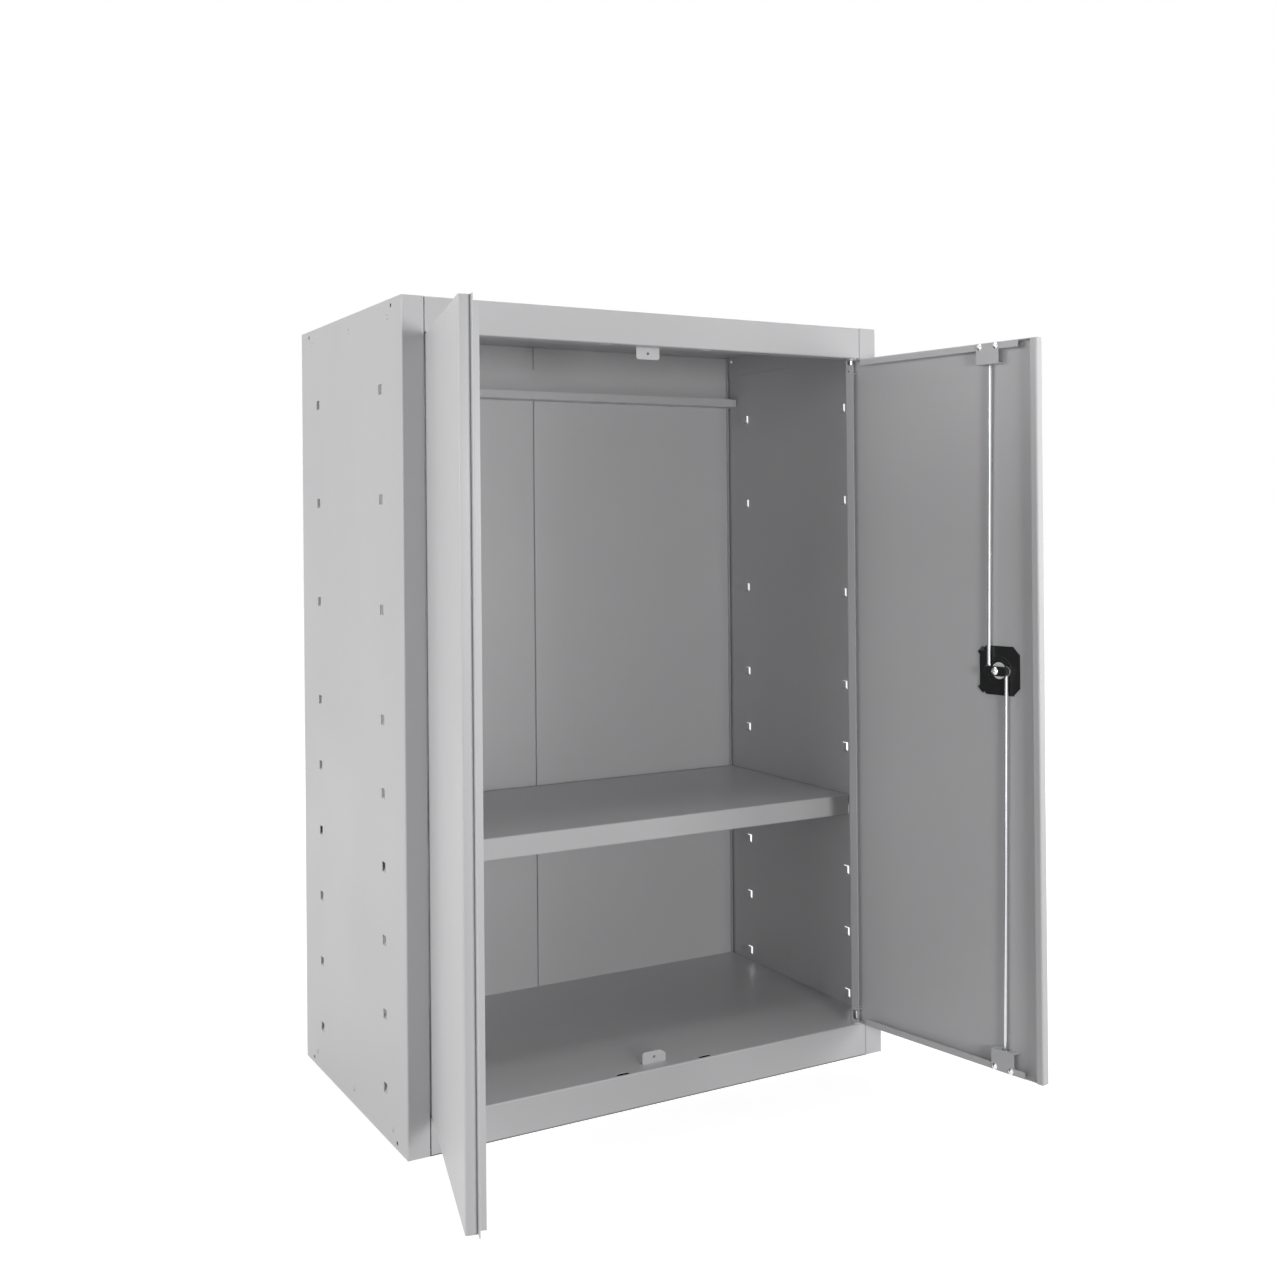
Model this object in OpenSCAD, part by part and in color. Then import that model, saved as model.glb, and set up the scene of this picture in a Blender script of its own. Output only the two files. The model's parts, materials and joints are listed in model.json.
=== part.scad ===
// Tool cabinet with two hinged doors, folded from sheet steel, with one shelf and a turn-handle rod lock.
// X runs across the front, Y from the front to the back, Z up. The doors are drawn open.

/* [Cabinet] */
// Outer width
cab_w = 690; // [600:5:900]
// Outer depth
cab_d = 400; // [340:5:600]
// Outer height
cab_h = 1000; // [860:10:1400]
// Thickness of the painted sheet
sheet = 1; // [0.8:0.1:1.2]
// Gap between folded panels that lie side by side
fit = 0.6; // [0.3:0.05:0.8]

/* [Front frame] */
// Width of each front post
post_w = 28; // [24:1:40]
// Depth of the post's inner return
post_return = 14; // [10:1:18]
// Height of the top rail of the front frame
header_h = 42; // [36:1:60]
// Height of the plinth below the floor
toe_h = 44; // [36:1:70]
// Depth of the plinth's bottom lip, which stands on the ground
base_lip = 16; // [12:1:30]
// Height of the side flanges of the top and bottom panels
flange_h = 32; // [28:1:34]
// Distance of the joining rivets from the top and the ground
rivet_level = 20; // [18:1:24]
// Distance of the end rivets from the front and the back
rivet_inset = 50; // [45:1:70]
// Distance of the corner holes from the top and the ground
corner_level = 8; // [7:0.5:10]
// Distance of the corner holes from the front and the back
corner_inset = 36; // [35:1:40]
// Diameter of the corner holes
corner_d = 5; // [4:0.5:6]

/* [Back] */
// Depth of the recess behind the back panels
back_recess = 20; // [14:1:30]
// Width of the rear posts
rear_post_w = 22; // [18:1:30]
// Lip of the rear posts that carries the back panels
rear_lip = 12; // [10:1:20]
// Forward flange at the outer edge of each back panel
back_flange = 7; // [5:1:10]
// Depth of the standing seam between the back panels
seam_d = 12; // [8:1:13]
// Depth of the channel along the top of the back
rail_d = 31; // [20:1:45]
// Height of the channel's front lip
rail_lip = 12; // [8:1:20]
// Height of the channel's web
rail_h = 47; // [36:1:60]
// Distance of the channel's bottom from the top panel
rail_drop = 80; // [62:1:120]

/* [Shelf] */
// Height of the shelf's folded edges
shelf_lip = 28; // [22:1:34]
// Setback of the shelf from the front
shelf_setback = 66; // [40:1:67]
// Gap between the shelf and the walls
shelf_gap = 2.5; // [2:0.5:3.5]
// Row of lugs that the shelf hangs on, counted up from 0
shelf_row = 3; // [1:1:5]

/* [Shelf lugs] */
// Height of the lowest row above the floor
lug_first = 16; // [12:1:40]
// Distance between the lower rows
lug_pitch = 88; // [70:1:100]
// Number of closely spaced lower rows
lug_rows = 6; // [6:1:8]
// Height of a lug's opening
lug_h = 13; // [11:0.5:15]
// Width of a lug's opening
lug_w = 12; // [9:0.5:12]
// Distance of the front column from the front
lug_front = 75; // [75:1:100]
// Distance of the rear column from the rear
lug_rear = 75; // [66:1:90]

/* [Doors] */
// Thickness of a door
door_t = 12; // [11:0.5:16]
// Gap between a door and its post
hinge_gap = 2; // [1.5:0.25:3]
// Gap between the two doors
mid_gap = 1.5; // [1:0.25:3]
// Gap above and below a door
end_gap = 2; // [1.8:0.1:3]
// Opening angle of the left door
left_open = 105; // [0:1:110]
// Opening angle of the right door
right_open = 100; // [0:1:110]
// Radius of a door's bend beside its post
bend_r = 3; // [2:0.5:4]
// Width of the inner lip beside the hinge
hinge_lip = 15; // [14:0.5:18]
// Width of the other inner lips
edge_lip = 9; // [8:0.5:12]
// Length of top and bottom lip cut away beside the hinge
hinge_notch = 28; // [24:1:40]
// Length of top and bottom lip cut away at the free edge
free_notch = 27; // [20:1:30]
// Reach of the closing strip behind the other door
strip_reach = 9; // [6:0.5:12]

/* [Hinges] */
// Diameter of a hinge pin
pin_d = 6; // [5:0.5:6.5]
// Distance of the pin's axis from the door's edge
pin_inset = 7; // [6.5:0.25:8]
// Depth of a pin in the frame
pin_reach = 6; // [4:0.5:10]
// Radial play of the pins in their bushes
pin_play = 0.05; // [0.02:0.01:0.1]

/* [Lock] */
// Height of the lock
lock_z = 545; // [450:5:600]
// Distance of the lock from the door's free edge
lock_inset = 66; // [60:0.25:80]
// Width of the black lock plate
plate_w = 60; // [54:1:66]
// Diameter of the spindle
spindle_d = 10; // [8:0.5:11]
// Distance of the rod pins from the spindle
cam_r = 13.5; // [13.5:0.25:15]
// Diameter of a rod
rod_d = 5; // [4.5:0.25:5.5]
// Diameter of a rod pin
rod_pin_d = 5; // [4.5:0.25:5.5]
// Length of the turn handle
handle_l = 74; // [60:1:90]
// Diameter of the key plug
plug_d = 14; // [12:0.5:16]

/* [Hidden] */
$fn = 48;

paint = "#c6c8ca";
zinc = "#d4d6d8";
black = "#1d1d1f";
nylon = "#e8e6df";
eps = 0.01;

// Half widths of what fits between the walls, the front posts and the rear posts
inner_x = cab_w / 2 - sheet - fit;
front_x = cab_w / 2 - post_w - fit;
rear_x = cab_w / 2 - rear_post_w - fit;
lip_x = rear_x - rear_lip;
// Inner face of the back panels, and the lip that they lie against
back_y = cab_d - back_recess;
back_face = back_y - sheet;
back_x = inner_x - 1.4;
// Opening of the front frame, and the doors in it
header_z = cab_h - header_h;
door_low = toe_h + end_gap;
door_high = header_z - end_gap;
door_w = cab_w / 2 - post_w - hinge_gap - mid_gap / 2;
pivot_y = door_t / 2;
pivot_x = cab_w / 2 - post_w - hinge_gap - pin_inset;
// Closing strip: a step clears the lip of the other door, and a fold along its edge meets the door stops
strip_step = 0.6;
strip_face = door_t + strip_step;
strip_fold = 7;
strip_cut = 8;
strip_lap = 20;
strip_rivet_u = door_w - 6;
strip_rivet_d = 3;
strip_rivet_lead = 30;
strip_rivet_step = (door_high - door_low - 2 * strip_rivet_lead) / 4;
strip_rivet_z = [for (i = [0:4]) door_low + strip_rivet_lead + i * strip_rivet_step];
// Header's lower lip ends at the door stops
stop_y = strip_face + strip_fold + 0.4;
stop_w = 34;
stop_h = 15;
stop_x = -6.5;
stop_foot = 10;
// Side flanges of the top and bottom panels
flange_y0 = 30;
flange_y1 = back_y - 8;
rivet_y = [rivet_inset, (cab_d - 10) / 2, cab_d - rivet_inset];
rivet_d = 4;
rivet_head = 8;
corner_y = [corner_inset, cab_d - corner_inset];
// Rows of lugs: the upper ones stand half as far apart again
high_pitch = 1.5 * lug_pitch;
first_z = toe_h + lug_first;
last_low = first_z + (lug_rows - 1) * lug_pitch;
top_margin = 70;
low_z = [for (i = [0:lug_rows - 1]) first_z + i * lug_pitch];
high_z = [for (z = [last_low + high_pitch:high_pitch:cab_h - top_margin]) z];
lug_z = [for (z = concat(low_z, high_z)) if (z < cab_h - top_margin) z];
lug_y = [lug_front, cab_d - lug_rear];
lug_step = 3.5;
lug_slit = 0.3;
lug_rise = sheet + shelf_gap;
// Shelf, whose end folds hang on one row of lugs by notches
shelf_hang = 13.5;
row_z = first_z + shelf_row * lug_pitch;
shelf_low = row_z + lug_h / 2 - shelf_hang;
shelf_top = shelf_low + shelf_lip;
shelf_x = cab_w / 2 - sheet - shelf_gap;
shelf_back = back_y - back_flange - 2;
shelf_hem = 12;
notch_room = 0.5;
// Holes in the back channel's web, and rivets of the back panels
rail_hole_rise = 22;
rail_hole_d = 4;
back_rivet_count = 5;
back_rivet_lead = 60;
// Hinge pins, their bushes and brackets
bush_wall = 1.5;
bush_flange = 3.5;
bush_d = pin_d + 2 * pin_play + 2 * bush_wall;
thrust_gap = 0.2;
bracket_rise = 18;
bracket_t = 1.5;
pin_collar = 1;
// A pin's window in the door's lip below, and the open end and the small hole of the lip above
window_low = 4;
window_high = 16.5;
lip_end = 7;
lip_hole_drop = 16;
lip_hole_d = 3;
// Lock: layers outward from the door's skin, measured from its outer face
plate_t = 2;
plate_top = sheet + plate_t;
washer_t = 0.8;
washer_d = 21;
rod_v = door_t / 2;
cam_gap = 0.3;
cam_v = rod_v + rod_d / 2 + cam_gap;
cam_t = 2.5;
cam_rise = 1.5;
cam_w = 12;
cam_l = 2 * cam_r + 9;
cam_seat = 1.5;
screw_d = 10;
play = 0.05;
lock_u = door_w - lock_inset;
rod_x = lock_inset + mid_gap / 2;
neck_d = 20;
escutcheon_d = 52;
escutcheon_t = 5;
handle_gap = 0.5;
handle_base = 8;
handle_rise = 14;
handle_w = 18;
// Rods: each leans from its cam pin to its guide, which stands halfway in the pin's travel
guide_off = cam_r / 2;
guide_drop = 26;
guide_w = 34;
guide_room = 3.2;
guide_rivet_d = 4;
rod_back = 1.5;
eye_d = 13;
eye_t = 4;
up_reach = door_high - guide_drop - lock_z;
down_reach = lock_z - door_low - guide_drop;
rod_slot_l = 2 * guide_room + rod_d + 7;
rod_slot_w = rod_d + 2;

// A plate between two corners
module plate(x0, x1, y0, y1, z0, z1)
    translate([x0, y0, z0]) cube([x1 - x0, y1 - y0, z1 - z0]);

// Everything is drawn from the front face and moved so that the origin lies in the plinth's bottom lip
module in_place() translate([0, -base_lip / 2, 0]) children();

// The same thing on both sides of the middle plane
module both_sides() {
    children();
    mirror([1, 0, 0]) children();
}

// A plate with rounded ends, lying along X, with its centre at the origin
module stadium(length, width, height) {
    flat = length - width;
    translate([-flat / 2, -width / 2, 0]) cube([flat, width, height]);
    for (x = [-flat / 2, flat / 2]) translate([x, 0, 0]) cylinder(d = width, h = height);
}

// A domed rivet head with its shank, pointing along +Z from its seat
module rivet(head_d, shank_d, shank_l) {
    rise = head_d / 4;
    ball = (head_d * head_d / 4 + rise * rise) / (2 * rise);
    intersection() {
        translate([0, 0, rise - ball]) sphere(r = ball);
        cylinder(d = head_d + 1, h = rise + 1);
    }
    translate([0, 0, -shank_l]) cylinder(d = shank_d, h = shank_l + eps);
}

// Holes through the side wall and the flange behind it, drilled along X on the left side
module frame_drilling(hole_d, levels, places)
    for (y = places, z = levels)
        translate([-cab_w / 2 - 1, y, z]) rotate([0, 90, 0]) cylinder(d = hole_d, h = 2 * sheet + fit + 2);

module wall_holes() {
    frame_drilling(rivet_d, [rivet_level, cab_h - rivet_level], rivet_y);
    frame_drilling(corner_d, [corner_level, cab_h - corner_level], corner_y);
}

// Lug of the left wall, about the middle of its opening: cut free on three sides and pressed inwards
module lug() {
    low = -lug_h / 2;
    width = lug_w - 2 * lug_slit;
    translate([0, width / 2, 0]) rotate([90, 0, 0]) linear_extrude(width) polygon([[0, low - 1],
        [sheet, low - 1], [sheet, low], [sheet + lug_rise, low + lug_step], [sheet + lug_rise, -low],
        [lug_rise, -low], [lug_rise, low + lug_step], [0, low]]);
}

// Left wall with its front post and its rear post folded on
module side_shell() {
    x0 = -cab_w / 2;
    x1 = x0 + post_w;
    x2 = x0 + rear_post_w;
    under_top = cab_h - sheet - fit;
    difference() {
        union() {
            plate(x0, x0 + sheet, 0, cab_d, 0, cab_h);
            plate(x0, x1, 0, sheet, 0, cab_h);
            plate(x1 - sheet, x1, 0, sheet + post_return, 0, under_top);
            plate(x0, x2, cab_d - sheet, cab_d, 0, cab_h);
            plate(x2 - sheet, x2, back_y, cab_d, 0, under_top);
            plate(x2 - sheet, x2 + rear_lip, back_y, back_y + sheet, 0, under_top);
        }
        wall_holes();
        for (y = lug_y, z = lug_z)
            plate(x0 - 1, x0 + sheet + 1, y - lug_w / 2, y + lug_w / 2, z - lug_h / 2, z + lug_h / 2);
    }
    for (y = lug_y, z = lug_z) translate([x0, y, z]) lug();
}

module left_side_panel() color(paint) in_place() side_shell();
module right_side_panel() color(paint) in_place() mirror([1, 0, 0]) side_shell();

// Openings beside the doors' edges: two rod slots and two holes for hinge bushes
module frame_openings(z, slot_x) {
    for (side = [-1, 1]) {
        translate([side * slot_x, pivot_y, z - 1]) stadium(rod_slot_l, rod_slot_w, sheet + 2);
        translate([side * pivot_x, pivot_y, z - 1]) cylinder(d = bush_d, h = sheet + 2);
    }
}

// Top sheet with header and lip, side flanges and rear flange
module top_panel() color(paint) in_place() difference() {
    union() {
        plate(-inner_x, inner_x, sheet + fit, cab_d - sheet - fit, cab_h - sheet, cab_h);
        plate(-front_x, front_x, 0, cab_d / 2, cab_h - sheet, cab_h);
        plate(-rear_x, rear_x, cab_d / 2, cab_d, cab_h - sheet, cab_h);
        plate(-front_x, front_x, 0, sheet, header_z, cab_h);
        plate(-front_x, front_x, 0, stop_y, header_z, header_z + sheet);
        plate(-rear_x, rear_x, cab_d - sheet, cab_d, header_z, cab_h);
        both_sides() plate(-inner_x, sheet - inner_x, flange_y0, flange_y1, cab_h - flange_h, cab_h);
    }
    frame_openings(header_z, rod_x + guide_off);
    both_sides() wall_holes();
}

// Floor sheet, notched around the posts, with plinth, bottom lip, side flanges and rear flange
module bottom_panel() color(paint) in_place() difference() {
    post_y = sheet + post_return + fit;
    union() {
        plate(-inner_x, inner_x, post_y, back_y - fit, toe_h - sheet, toe_h);
        plate(-front_x, front_x, 0, post_y + 1, toe_h - sheet, toe_h);
        plate(-lip_x, lip_x, back_y - 1, cab_d, toe_h - sheet, toe_h);
        plate(-front_x, front_x, 0, sheet, 0, toe_h);
        plate(-front_x, front_x, 0, base_lip, 0, sheet);
        plate(-rear_x, rear_x, cab_d - sheet, cab_d, 0, toe_h);
        plate(-rear_x, rear_x, cab_d - base_lip, cab_d, 0, sheet);
        both_sides() plate(-inner_x, sheet - inner_x, flange_y0, flange_y1, toe_h - flange_h, toe_h);
    }
    frame_openings(toe_h - sheet, rod_x - guide_off);
    both_sides() wall_holes();
}

// Left half of the back: a sheet with a forward flange beside the wall and half of the standing seam
module back_half() {
    low = toe_h;
    high = cab_h - sheet - fit;
    plate(-back_x, -fit / 2, back_face, back_y, low, high);
    plate(-back_x, sheet - back_x, back_y - back_flange, back_y, low, high);
    plate(-fit / 2 - sheet, -fit / 2, back_face, back_y + seam_d, low, high);
}

module back_panel_left() color(paint) in_place() back_half();
module back_panel_right() color(paint) in_place() mirror([1, 0, 0]) back_half();

// Channel across the top of the back: web, forward shelf and upturned front lip
module back_rail() color(paint) in_place() {
    half = back_x - sheet - fit;
    low = cab_h - sheet - fit - rail_drop;
    difference() {
        plate(-half, half, back_face - sheet, back_face, low, low + rail_h);
        for (x = [-half / 2, half / 2]) translate([x, back_face + 1, low + rail_hole_rise])
            rotate([90, 0, 0]) cylinder(d = rail_hole_d, h = sheet + 2);
    }
    plate(-half, half, back_face - rail_d, back_face, low, low + sheet);
    plate(-half, half, back_face - rail_d, back_face - rail_d + sheet, low, low + rail_lip);
}

// Rivets that hold the back panels on the rear posts' lips, with their heads behind
module back_rivets() color(zinc) in_place() both_sides() {
    x = -cab_w / 2 + rear_post_w + rear_lip / 2;
    step = (cab_h - toe_h - 2 * back_rivet_lead) / (back_rivet_count - 1);
    for (i = [0:back_rivet_count - 1])
        translate([x, back_y + sheet, toe_h + back_rivet_lead + i * step])
            rotate([-90, 0, 0]) rivet(7, 3.2, 0);
}

// Shelf: a sheet with four folded edges, a hem under the front edge and each side, and notches for the lugs
module shelf() color(paint) in_place() difference() {
    shelf_sheet();
    both_sides() for (y = lug_y) plate(-shelf_x - 1, sheet + 0.4 - shelf_x, y - lug_w / 2 - notch_room,
        y + lug_w / 2 + notch_room, shelf_low - 1, shelf_low + shelf_hang);
}

module shelf_sheet() {
    y0 = shelf_setback;
    y1 = shelf_back;
    plate(-shelf_x, shelf_x, y0, y1, shelf_top - sheet, shelf_top);
    plate(-shelf_x, shelf_x, y0, y0 + sheet, shelf_low, shelf_top);
    plate(-shelf_x, shelf_x, y1 - sheet, y1, shelf_low, shelf_top);
    plate(-shelf_x, shelf_x, y0, y0 + shelf_hem, shelf_low, shelf_low + sheet);
    both_sides() {
        plate(-shelf_x, sheet - shelf_x, y0, y1, shelf_low, shelf_top);
        plate(-shelf_x, shelf_hem - shelf_x, y0, y1, shelf_low, shelf_low + sheet);
    }
}

// Rivets that join the walls to the flanges of the top and bottom panels
module frame_rivets() color(zinc) in_place() both_sides()
    for (y = rivet_y, z = [rivet_level, cab_h - rivet_level]) {
        translate([-cab_w / 2, y, z]) rotate([0, -90, 0]) rivet(rivet_head, rivet_d, 2 * sheet + fit);
        translate([-inner_x + sheet, y, z]) rotate([0, 90, 0]) rivet(rivet_d + 2.5, rivet_d, 0);
    }

// Stop for the closing strip: a tab with a hole and cut corners, and a foot that is welded to the frame
module stop_tab(rise, foot_y, left_cut, right_cut) {
    half = stop_w / 2;
    difference() {
        translate([0, sheet, 0]) rotate([90, 0, 0]) linear_extrude(sheet) polygon([[-half, 0], [half, 0],
            [half, rise - right_cut], [half - 1.6 * right_cut, rise],
            [left_cut - half, rise], [-half, rise - left_cut]]);
        translate([0, -1, rise - stop_h / 2]) rotate([-90, 0, 0]) cylinder(d = 3.6, h = sheet + 2);
    }
    plate(-half, half, foot_y, foot_y + stop_foot, 0, sheet);
}

module door_stop_top() color(zinc) in_place() translate([stop_x, stop_y, header_z + 2 * sheet])
    mirror([0, 0, 1]) stop_tab(stop_h + 2 * sheet, sheet - stop_foot, 2, 2);

module door_stop_bottom() color(zinc) in_place() translate([stop_x, stop_y, toe_h])
    stop_tab(stop_h, 0, 2, 5);

// One nylon bush: a sleeve in the frame and a flange towards the door, drawn upwards from the flange
module bush(flange_t) difference() {
    union() {
        cylinder(d = bush_d, h = flange_t + sheet + 2);
        cylinder(d = bush_d + bush_flange, h = flange_t);
    }
    translate([0, 0, -1]) cylinder(d = pin_d + 2 * pin_play, h = flange_t + sheet + 4);
}

module hinge_bushes() color(nylon) in_place() both_sides() {
    thrust = end_gap - thrust_gap;
    translate([-pivot_x, pivot_y, toe_h + thrust]) mirror([0, 0, 1]) bush(thrust);
    translate([-pivot_x, pivot_y, header_z - thrust / 2]) bush(thrust / 2);
}

// Doors are drawn flat, from the hinge edge along X, and turned open about their pins
module left_door() translate([-pivot_x, pivot_y, 0]) rotate([0, 0, -left_open])
    translate([-pin_inset, -pivot_y, 0]) children();
module right_door() translate([pivot_x, pivot_y, 0]) rotate([0, 0, right_open])
    translate([pin_inset, -pivot_y, 0]) mirror([1, 0, 0]) children();

// What the rounded bend beside the post takes off a square corner
module bend_waste() translate([0, 0, door_low - 1]) linear_extrude(door_high - door_low + 2) difference() {
    translate([-1, -1]) square(bend_r + 1);
    translate([bend_r, bend_r]) circle(bend_r);
}

module bend_ring() translate([0, 0, door_low]) linear_extrude(door_high - door_low) difference() {
    translate([bend_r, bend_r]) circle(bend_r);
    translate([bend_r, bend_r]) circle(bend_r - sheet);
    translate([bend_r, -1]) square(2 * bend_r + 2);
    translate([-1, bend_r]) square(2 * bend_r + 2);
}

// Folded door: skin, four edges, and inner lips with open corners
module door_pan() {
    v = door_t - sheet;
    difference() {
        union() {
            plate(0, door_w, 0, sheet, door_low, door_high);
            plate(0, sheet, 0, door_t, door_low, door_high);
            plate(door_w - sheet, door_w, 0, door_t, door_low, door_high);
            plate(0, hinge_lip, v, door_t, door_low, door_high);
            plate(door_w - edge_lip, door_w, v, door_t, door_low, door_high);
            for (z = [door_low, door_high - sheet]) plate(0, door_w, 0, door_t, z, z + sheet);
            for (z = [door_low, door_high - edge_lip])
                plate(hinge_notch, door_w - free_notch, v, door_t, z, z + edge_lip);
        }
        bend_waste();
        for (z = [door_low - 1, door_high - sheet - 1])
            translate([pin_inset, pivot_y, z]) cylinder(d = pin_d, h = sheet + 2);
        // The lower pin shows in a window, and the upper one above the end of the lip
        plate(pin_inset - pin_d / 2, pin_inset + pin_d / 2 + 2, v - 1, door_t + 1,
            door_low + window_low, door_low + window_high);
        plate(sheet, hinge_notch, v - 1, door_t + 1, door_high - lip_end, door_high - sheet);
        translate([pin_inset, v - 1, door_high - lip_hole_drop]) rotate([-90, 0, 0])
            cylinder(d = lip_hole_d, h = sheet + 2);
    }
    bend_ring();
}

// Where the closing strip is riveted on, with Z out of the door's inner side
module strip_rivet_places() for (z = strip_rivet_z)
    translate([strip_rivet_u, door_t + sheet, z]) rotate([-90, 0, 0]) children();

module strip_rivet_holes() strip_rivet_places() translate([0, 0, -2 * sheet - 1])
    cylinder(d = strip_rivet_d, h = 2 * sheet + 2);

module left_door_panel() color(paint) in_place() left_door() difference() {
    door_pan();
    strip_rivet_holes();
}

// The lock's hole and the rods' ways out of the door's ends
module right_door_panel() color(paint) in_place() right_door() difference() {
    door_pan();
    translate([lock_u, -1, lock_z]) rotate([-90, 0, 0]) cylinder(d = neck_d, h = sheet + 2);
    translate([lock_u - guide_off, rod_v, door_high - sheet - 1])
        stadium(rod_d + 2 * guide_room + 2, rod_d + 1.2, sheet + 2);
    translate([lock_u + guide_off, rod_v, door_low - 1])
        stadium(rod_d + 2 * guide_room + 2, rod_d + 1.2, sheet + 2);
    guide_rivet_holes();
}

// Closing strip on the left door: it lies on the free edge's lip and reaches behind the right door
module closing_strip() color(paint) in_place() left_door() difference() {
    end = door_w + strip_reach;
    union() {
        plate(door_w - strip_lap, door_w, door_t, door_t + sheet, door_low, door_high);
        plate(door_w - sheet, end, strip_face, strip_face + sheet, door_low, door_high);
        plate(end - sheet, end, strip_face, strip_face + strip_fold,
            door_low + strip_cut, door_high - strip_cut);
    }
    strip_rivet_holes();
}

module strip_rivets() color(zinc) in_place() left_door()
    strip_rivet_places() rivet(2 * strip_rivet_d, strip_rivet_d, 2 * sheet);

// A lower and an upper hinge pin with their collars
module pin_pair() {
    length = bracket_rise + bracket_t + 3 + end_gap + sheet + pin_reach;
    for (end = [[door_low, 0], [door_high, 1]])
        translate([pin_inset, pivot_y, end[0]]) mirror([0, 0, end[1]]) {
            translate([0, 0, -end_gap - sheet - pin_reach]) cylinder(d = pin_d, h = length);
            translate([0, 0, bracket_rise - 6]) cylinder(d = pin_d + 2 * pin_collar, h = 3);
        }
}

// The small plates inside the door that guide the pins
module bracket_pair() for (end = [[door_low, 0], [door_high, 1]])
    translate([0, 0, end[0]]) mirror([0, 0, end[1]]) difference() {
        plate(bend_r, pin_inset + pin_d, sheet, door_t - sheet, bracket_rise, bracket_rise + bracket_t);
        translate([pin_inset, pivot_y, bracket_rise - 1]) cylinder(d = pin_d, h = bracket_t + 2);
    }

module left_hinge_pins() color(zinc) in_place() left_door() pin_pair();
module right_hinge_pins() color(zinc) in_place() right_door() pin_pair();
module left_pin_brackets() color(zinc) in_place() left_door() bracket_pair();
module right_pin_brackets() color(zinc) in_place() right_door() bracket_pair();

// The lock is drawn about its spindle: X towards the free edge, Z out of the door's inner side
module at_lock() in_place() right_door() translate([lock_u, 0, lock_z]) rotate([-90, 0, 0])
    mirror([0, 1, 0]) children();

// Black plate on the inner side, with cut corners and two square ears
module lock_plate() color(black) at_lock() difference() {
    half_w = plate_w / 2;
    half_h = half_w + 0.75;
    cut = plate_w / 6;
    edge = [[half_w - cut, -half_h], [half_w, cut - half_h], [half_w, half_h - cut], [half_w - cut, half_h]];
    translate([0, 0, sheet]) union() {
        linear_extrude(plate_t) polygon(concat(edge, [for (point = edge) -point]));
        for (y = [-1, 1]) translate([cut * 0.4 - half_w, y * (half_h - cut * 0.85), 0])
            rotate([0, 0, 45]) translate([-cut / 2, -cut / 2, 0]) cube([cut, cut, plate_t]);
    }
    cylinder(d = spindle_d + 2 * play, h = 10);
}

// Outer rose of the lock, with a neck through the skin
module lock_escutcheon() color(black) at_lock() difference() {
    union() {
        translate([0, 0, -escutcheon_t]) cylinder(d = escutcheon_d, h = escutcheon_t);
        translate([0, 0, -1]) cylinder(d = neck_d, h = 1 + sheet);
    }
    translate([0, 0, -escutcheon_t - 1]) cylinder(d = spindle_d + 2 * play, h = escutcheon_t + sheet + 2);
}

// Guide of a rod: a plate on the door's lip and a leg with an open notch for the rod
module rod_guide(rod_u) {
    x0 = rod_u - guide_w / 2;
    difference() {
        plate(x0, x0 + guide_w, sheet, door_t + sheet, guide_drop, guide_drop + sheet);
        translate([rod_u, rod_v, guide_drop - 1])
            stadium(rod_d + 2 * guide_room, rod_d + 1, sheet + 2);
        plate(rod_u - rod_d / 2 - guide_room + 1, rod_u + rod_d / 2 + guide_room - 1, 0, rod_v,
            guide_drop - 1, guide_drop + sheet + 1);
    }
    plate(x0, x0 + guide_w, door_t, door_t + sheet, sheet, guide_drop + sheet);
}

module rod_guide_bottom() color(paint) in_place() right_door() difference() {
    translate([0, 0, door_low]) rod_guide(lock_u + guide_off);
    guide_rivet_holes();
}

module rod_guide_top() color(paint) in_place() right_door() difference() {
    translate([0, 0, door_high]) mirror([0, 0, 1]) rod_guide(lock_u - guide_off);
    guide_rivet_holes();
}

// Where the guides are riveted on, with Z out of the door's inner side
module guide_rivet_places() for (side = [-1, 1])
    for (spot = [[door_low, 1, guide_off], [door_high, -1, -guide_off]])
        translate([lock_u + spot[2] + side * 0.36 * guide_w, door_t + sheet,
            spot[0] + spot[1] * (edge_lip + sheet) / 2]) rotate([-90, 0, 0]) children();

module guide_rivet_holes() guide_rivet_places() translate([0, 0, -2 * sheet - 1])
    cylinder(d = guide_rivet_d, h = 2 * sheet + 2);

module guide_rivets() color(zinc) in_place() right_door()
    guide_rivet_places() rivet(2 * guide_rivet_d, guide_rivet_d, 2 * sheet);

// Wing handle on the outer side, with a bore for the key plug
module turn_handle() color(black) at_lock() {
    low = -escutcheon_t - handle_gap - handle_base;
    difference() {
        union() {
            translate([0, 0, low]) cylinder(d = handle_w * 2.2, h = handle_base);
            translate([0, 0, low - handle_rise]) {
                cylinder(d = handle_w * 1.4, h = handle_rise + 1);
                stadium(handle_l, handle_w, handle_rise + 1);
            }
        }
        translate([0, 0, low - handle_rise - 1]) cylinder(d = plug_d + 2 * play, h = handle_rise + 1);
        translate([0, 0, -escutcheon_t - handle_base / 2]) cylinder(d = spindle_d, h = handle_base);
    }
}

// Key plug with its keyway
module key_plug() color(zinc) at_lock() {
    face = -escutcheon_t - handle_gap - handle_base - handle_rise;
    difference() {
        translate([0, 0, face - 1]) cylinder(d = plug_d, h = handle_rise + 0.8);
        translate([-plug_d * 0.3, -0.9, face - 2]) cube([plug_d * 0.6, 1.8, 9]);
    }
}

module lock_spindle() color(zinc) at_lock()
    translate([0, 0, -escutcheon_t - handle_base / 2]) cylinder(d = spindle_d, h = escutcheon_t
        + handle_base / 2 + cam_v);

module lock_washer() color(zinc) at_lock() translate([0, 0, plate_top]) difference() {
    cylinder(d = washer_d, h = washer_t);
    translate([0, 0, -1]) cylinder(d = spindle_d, h = washer_t + 2);
}

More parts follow.
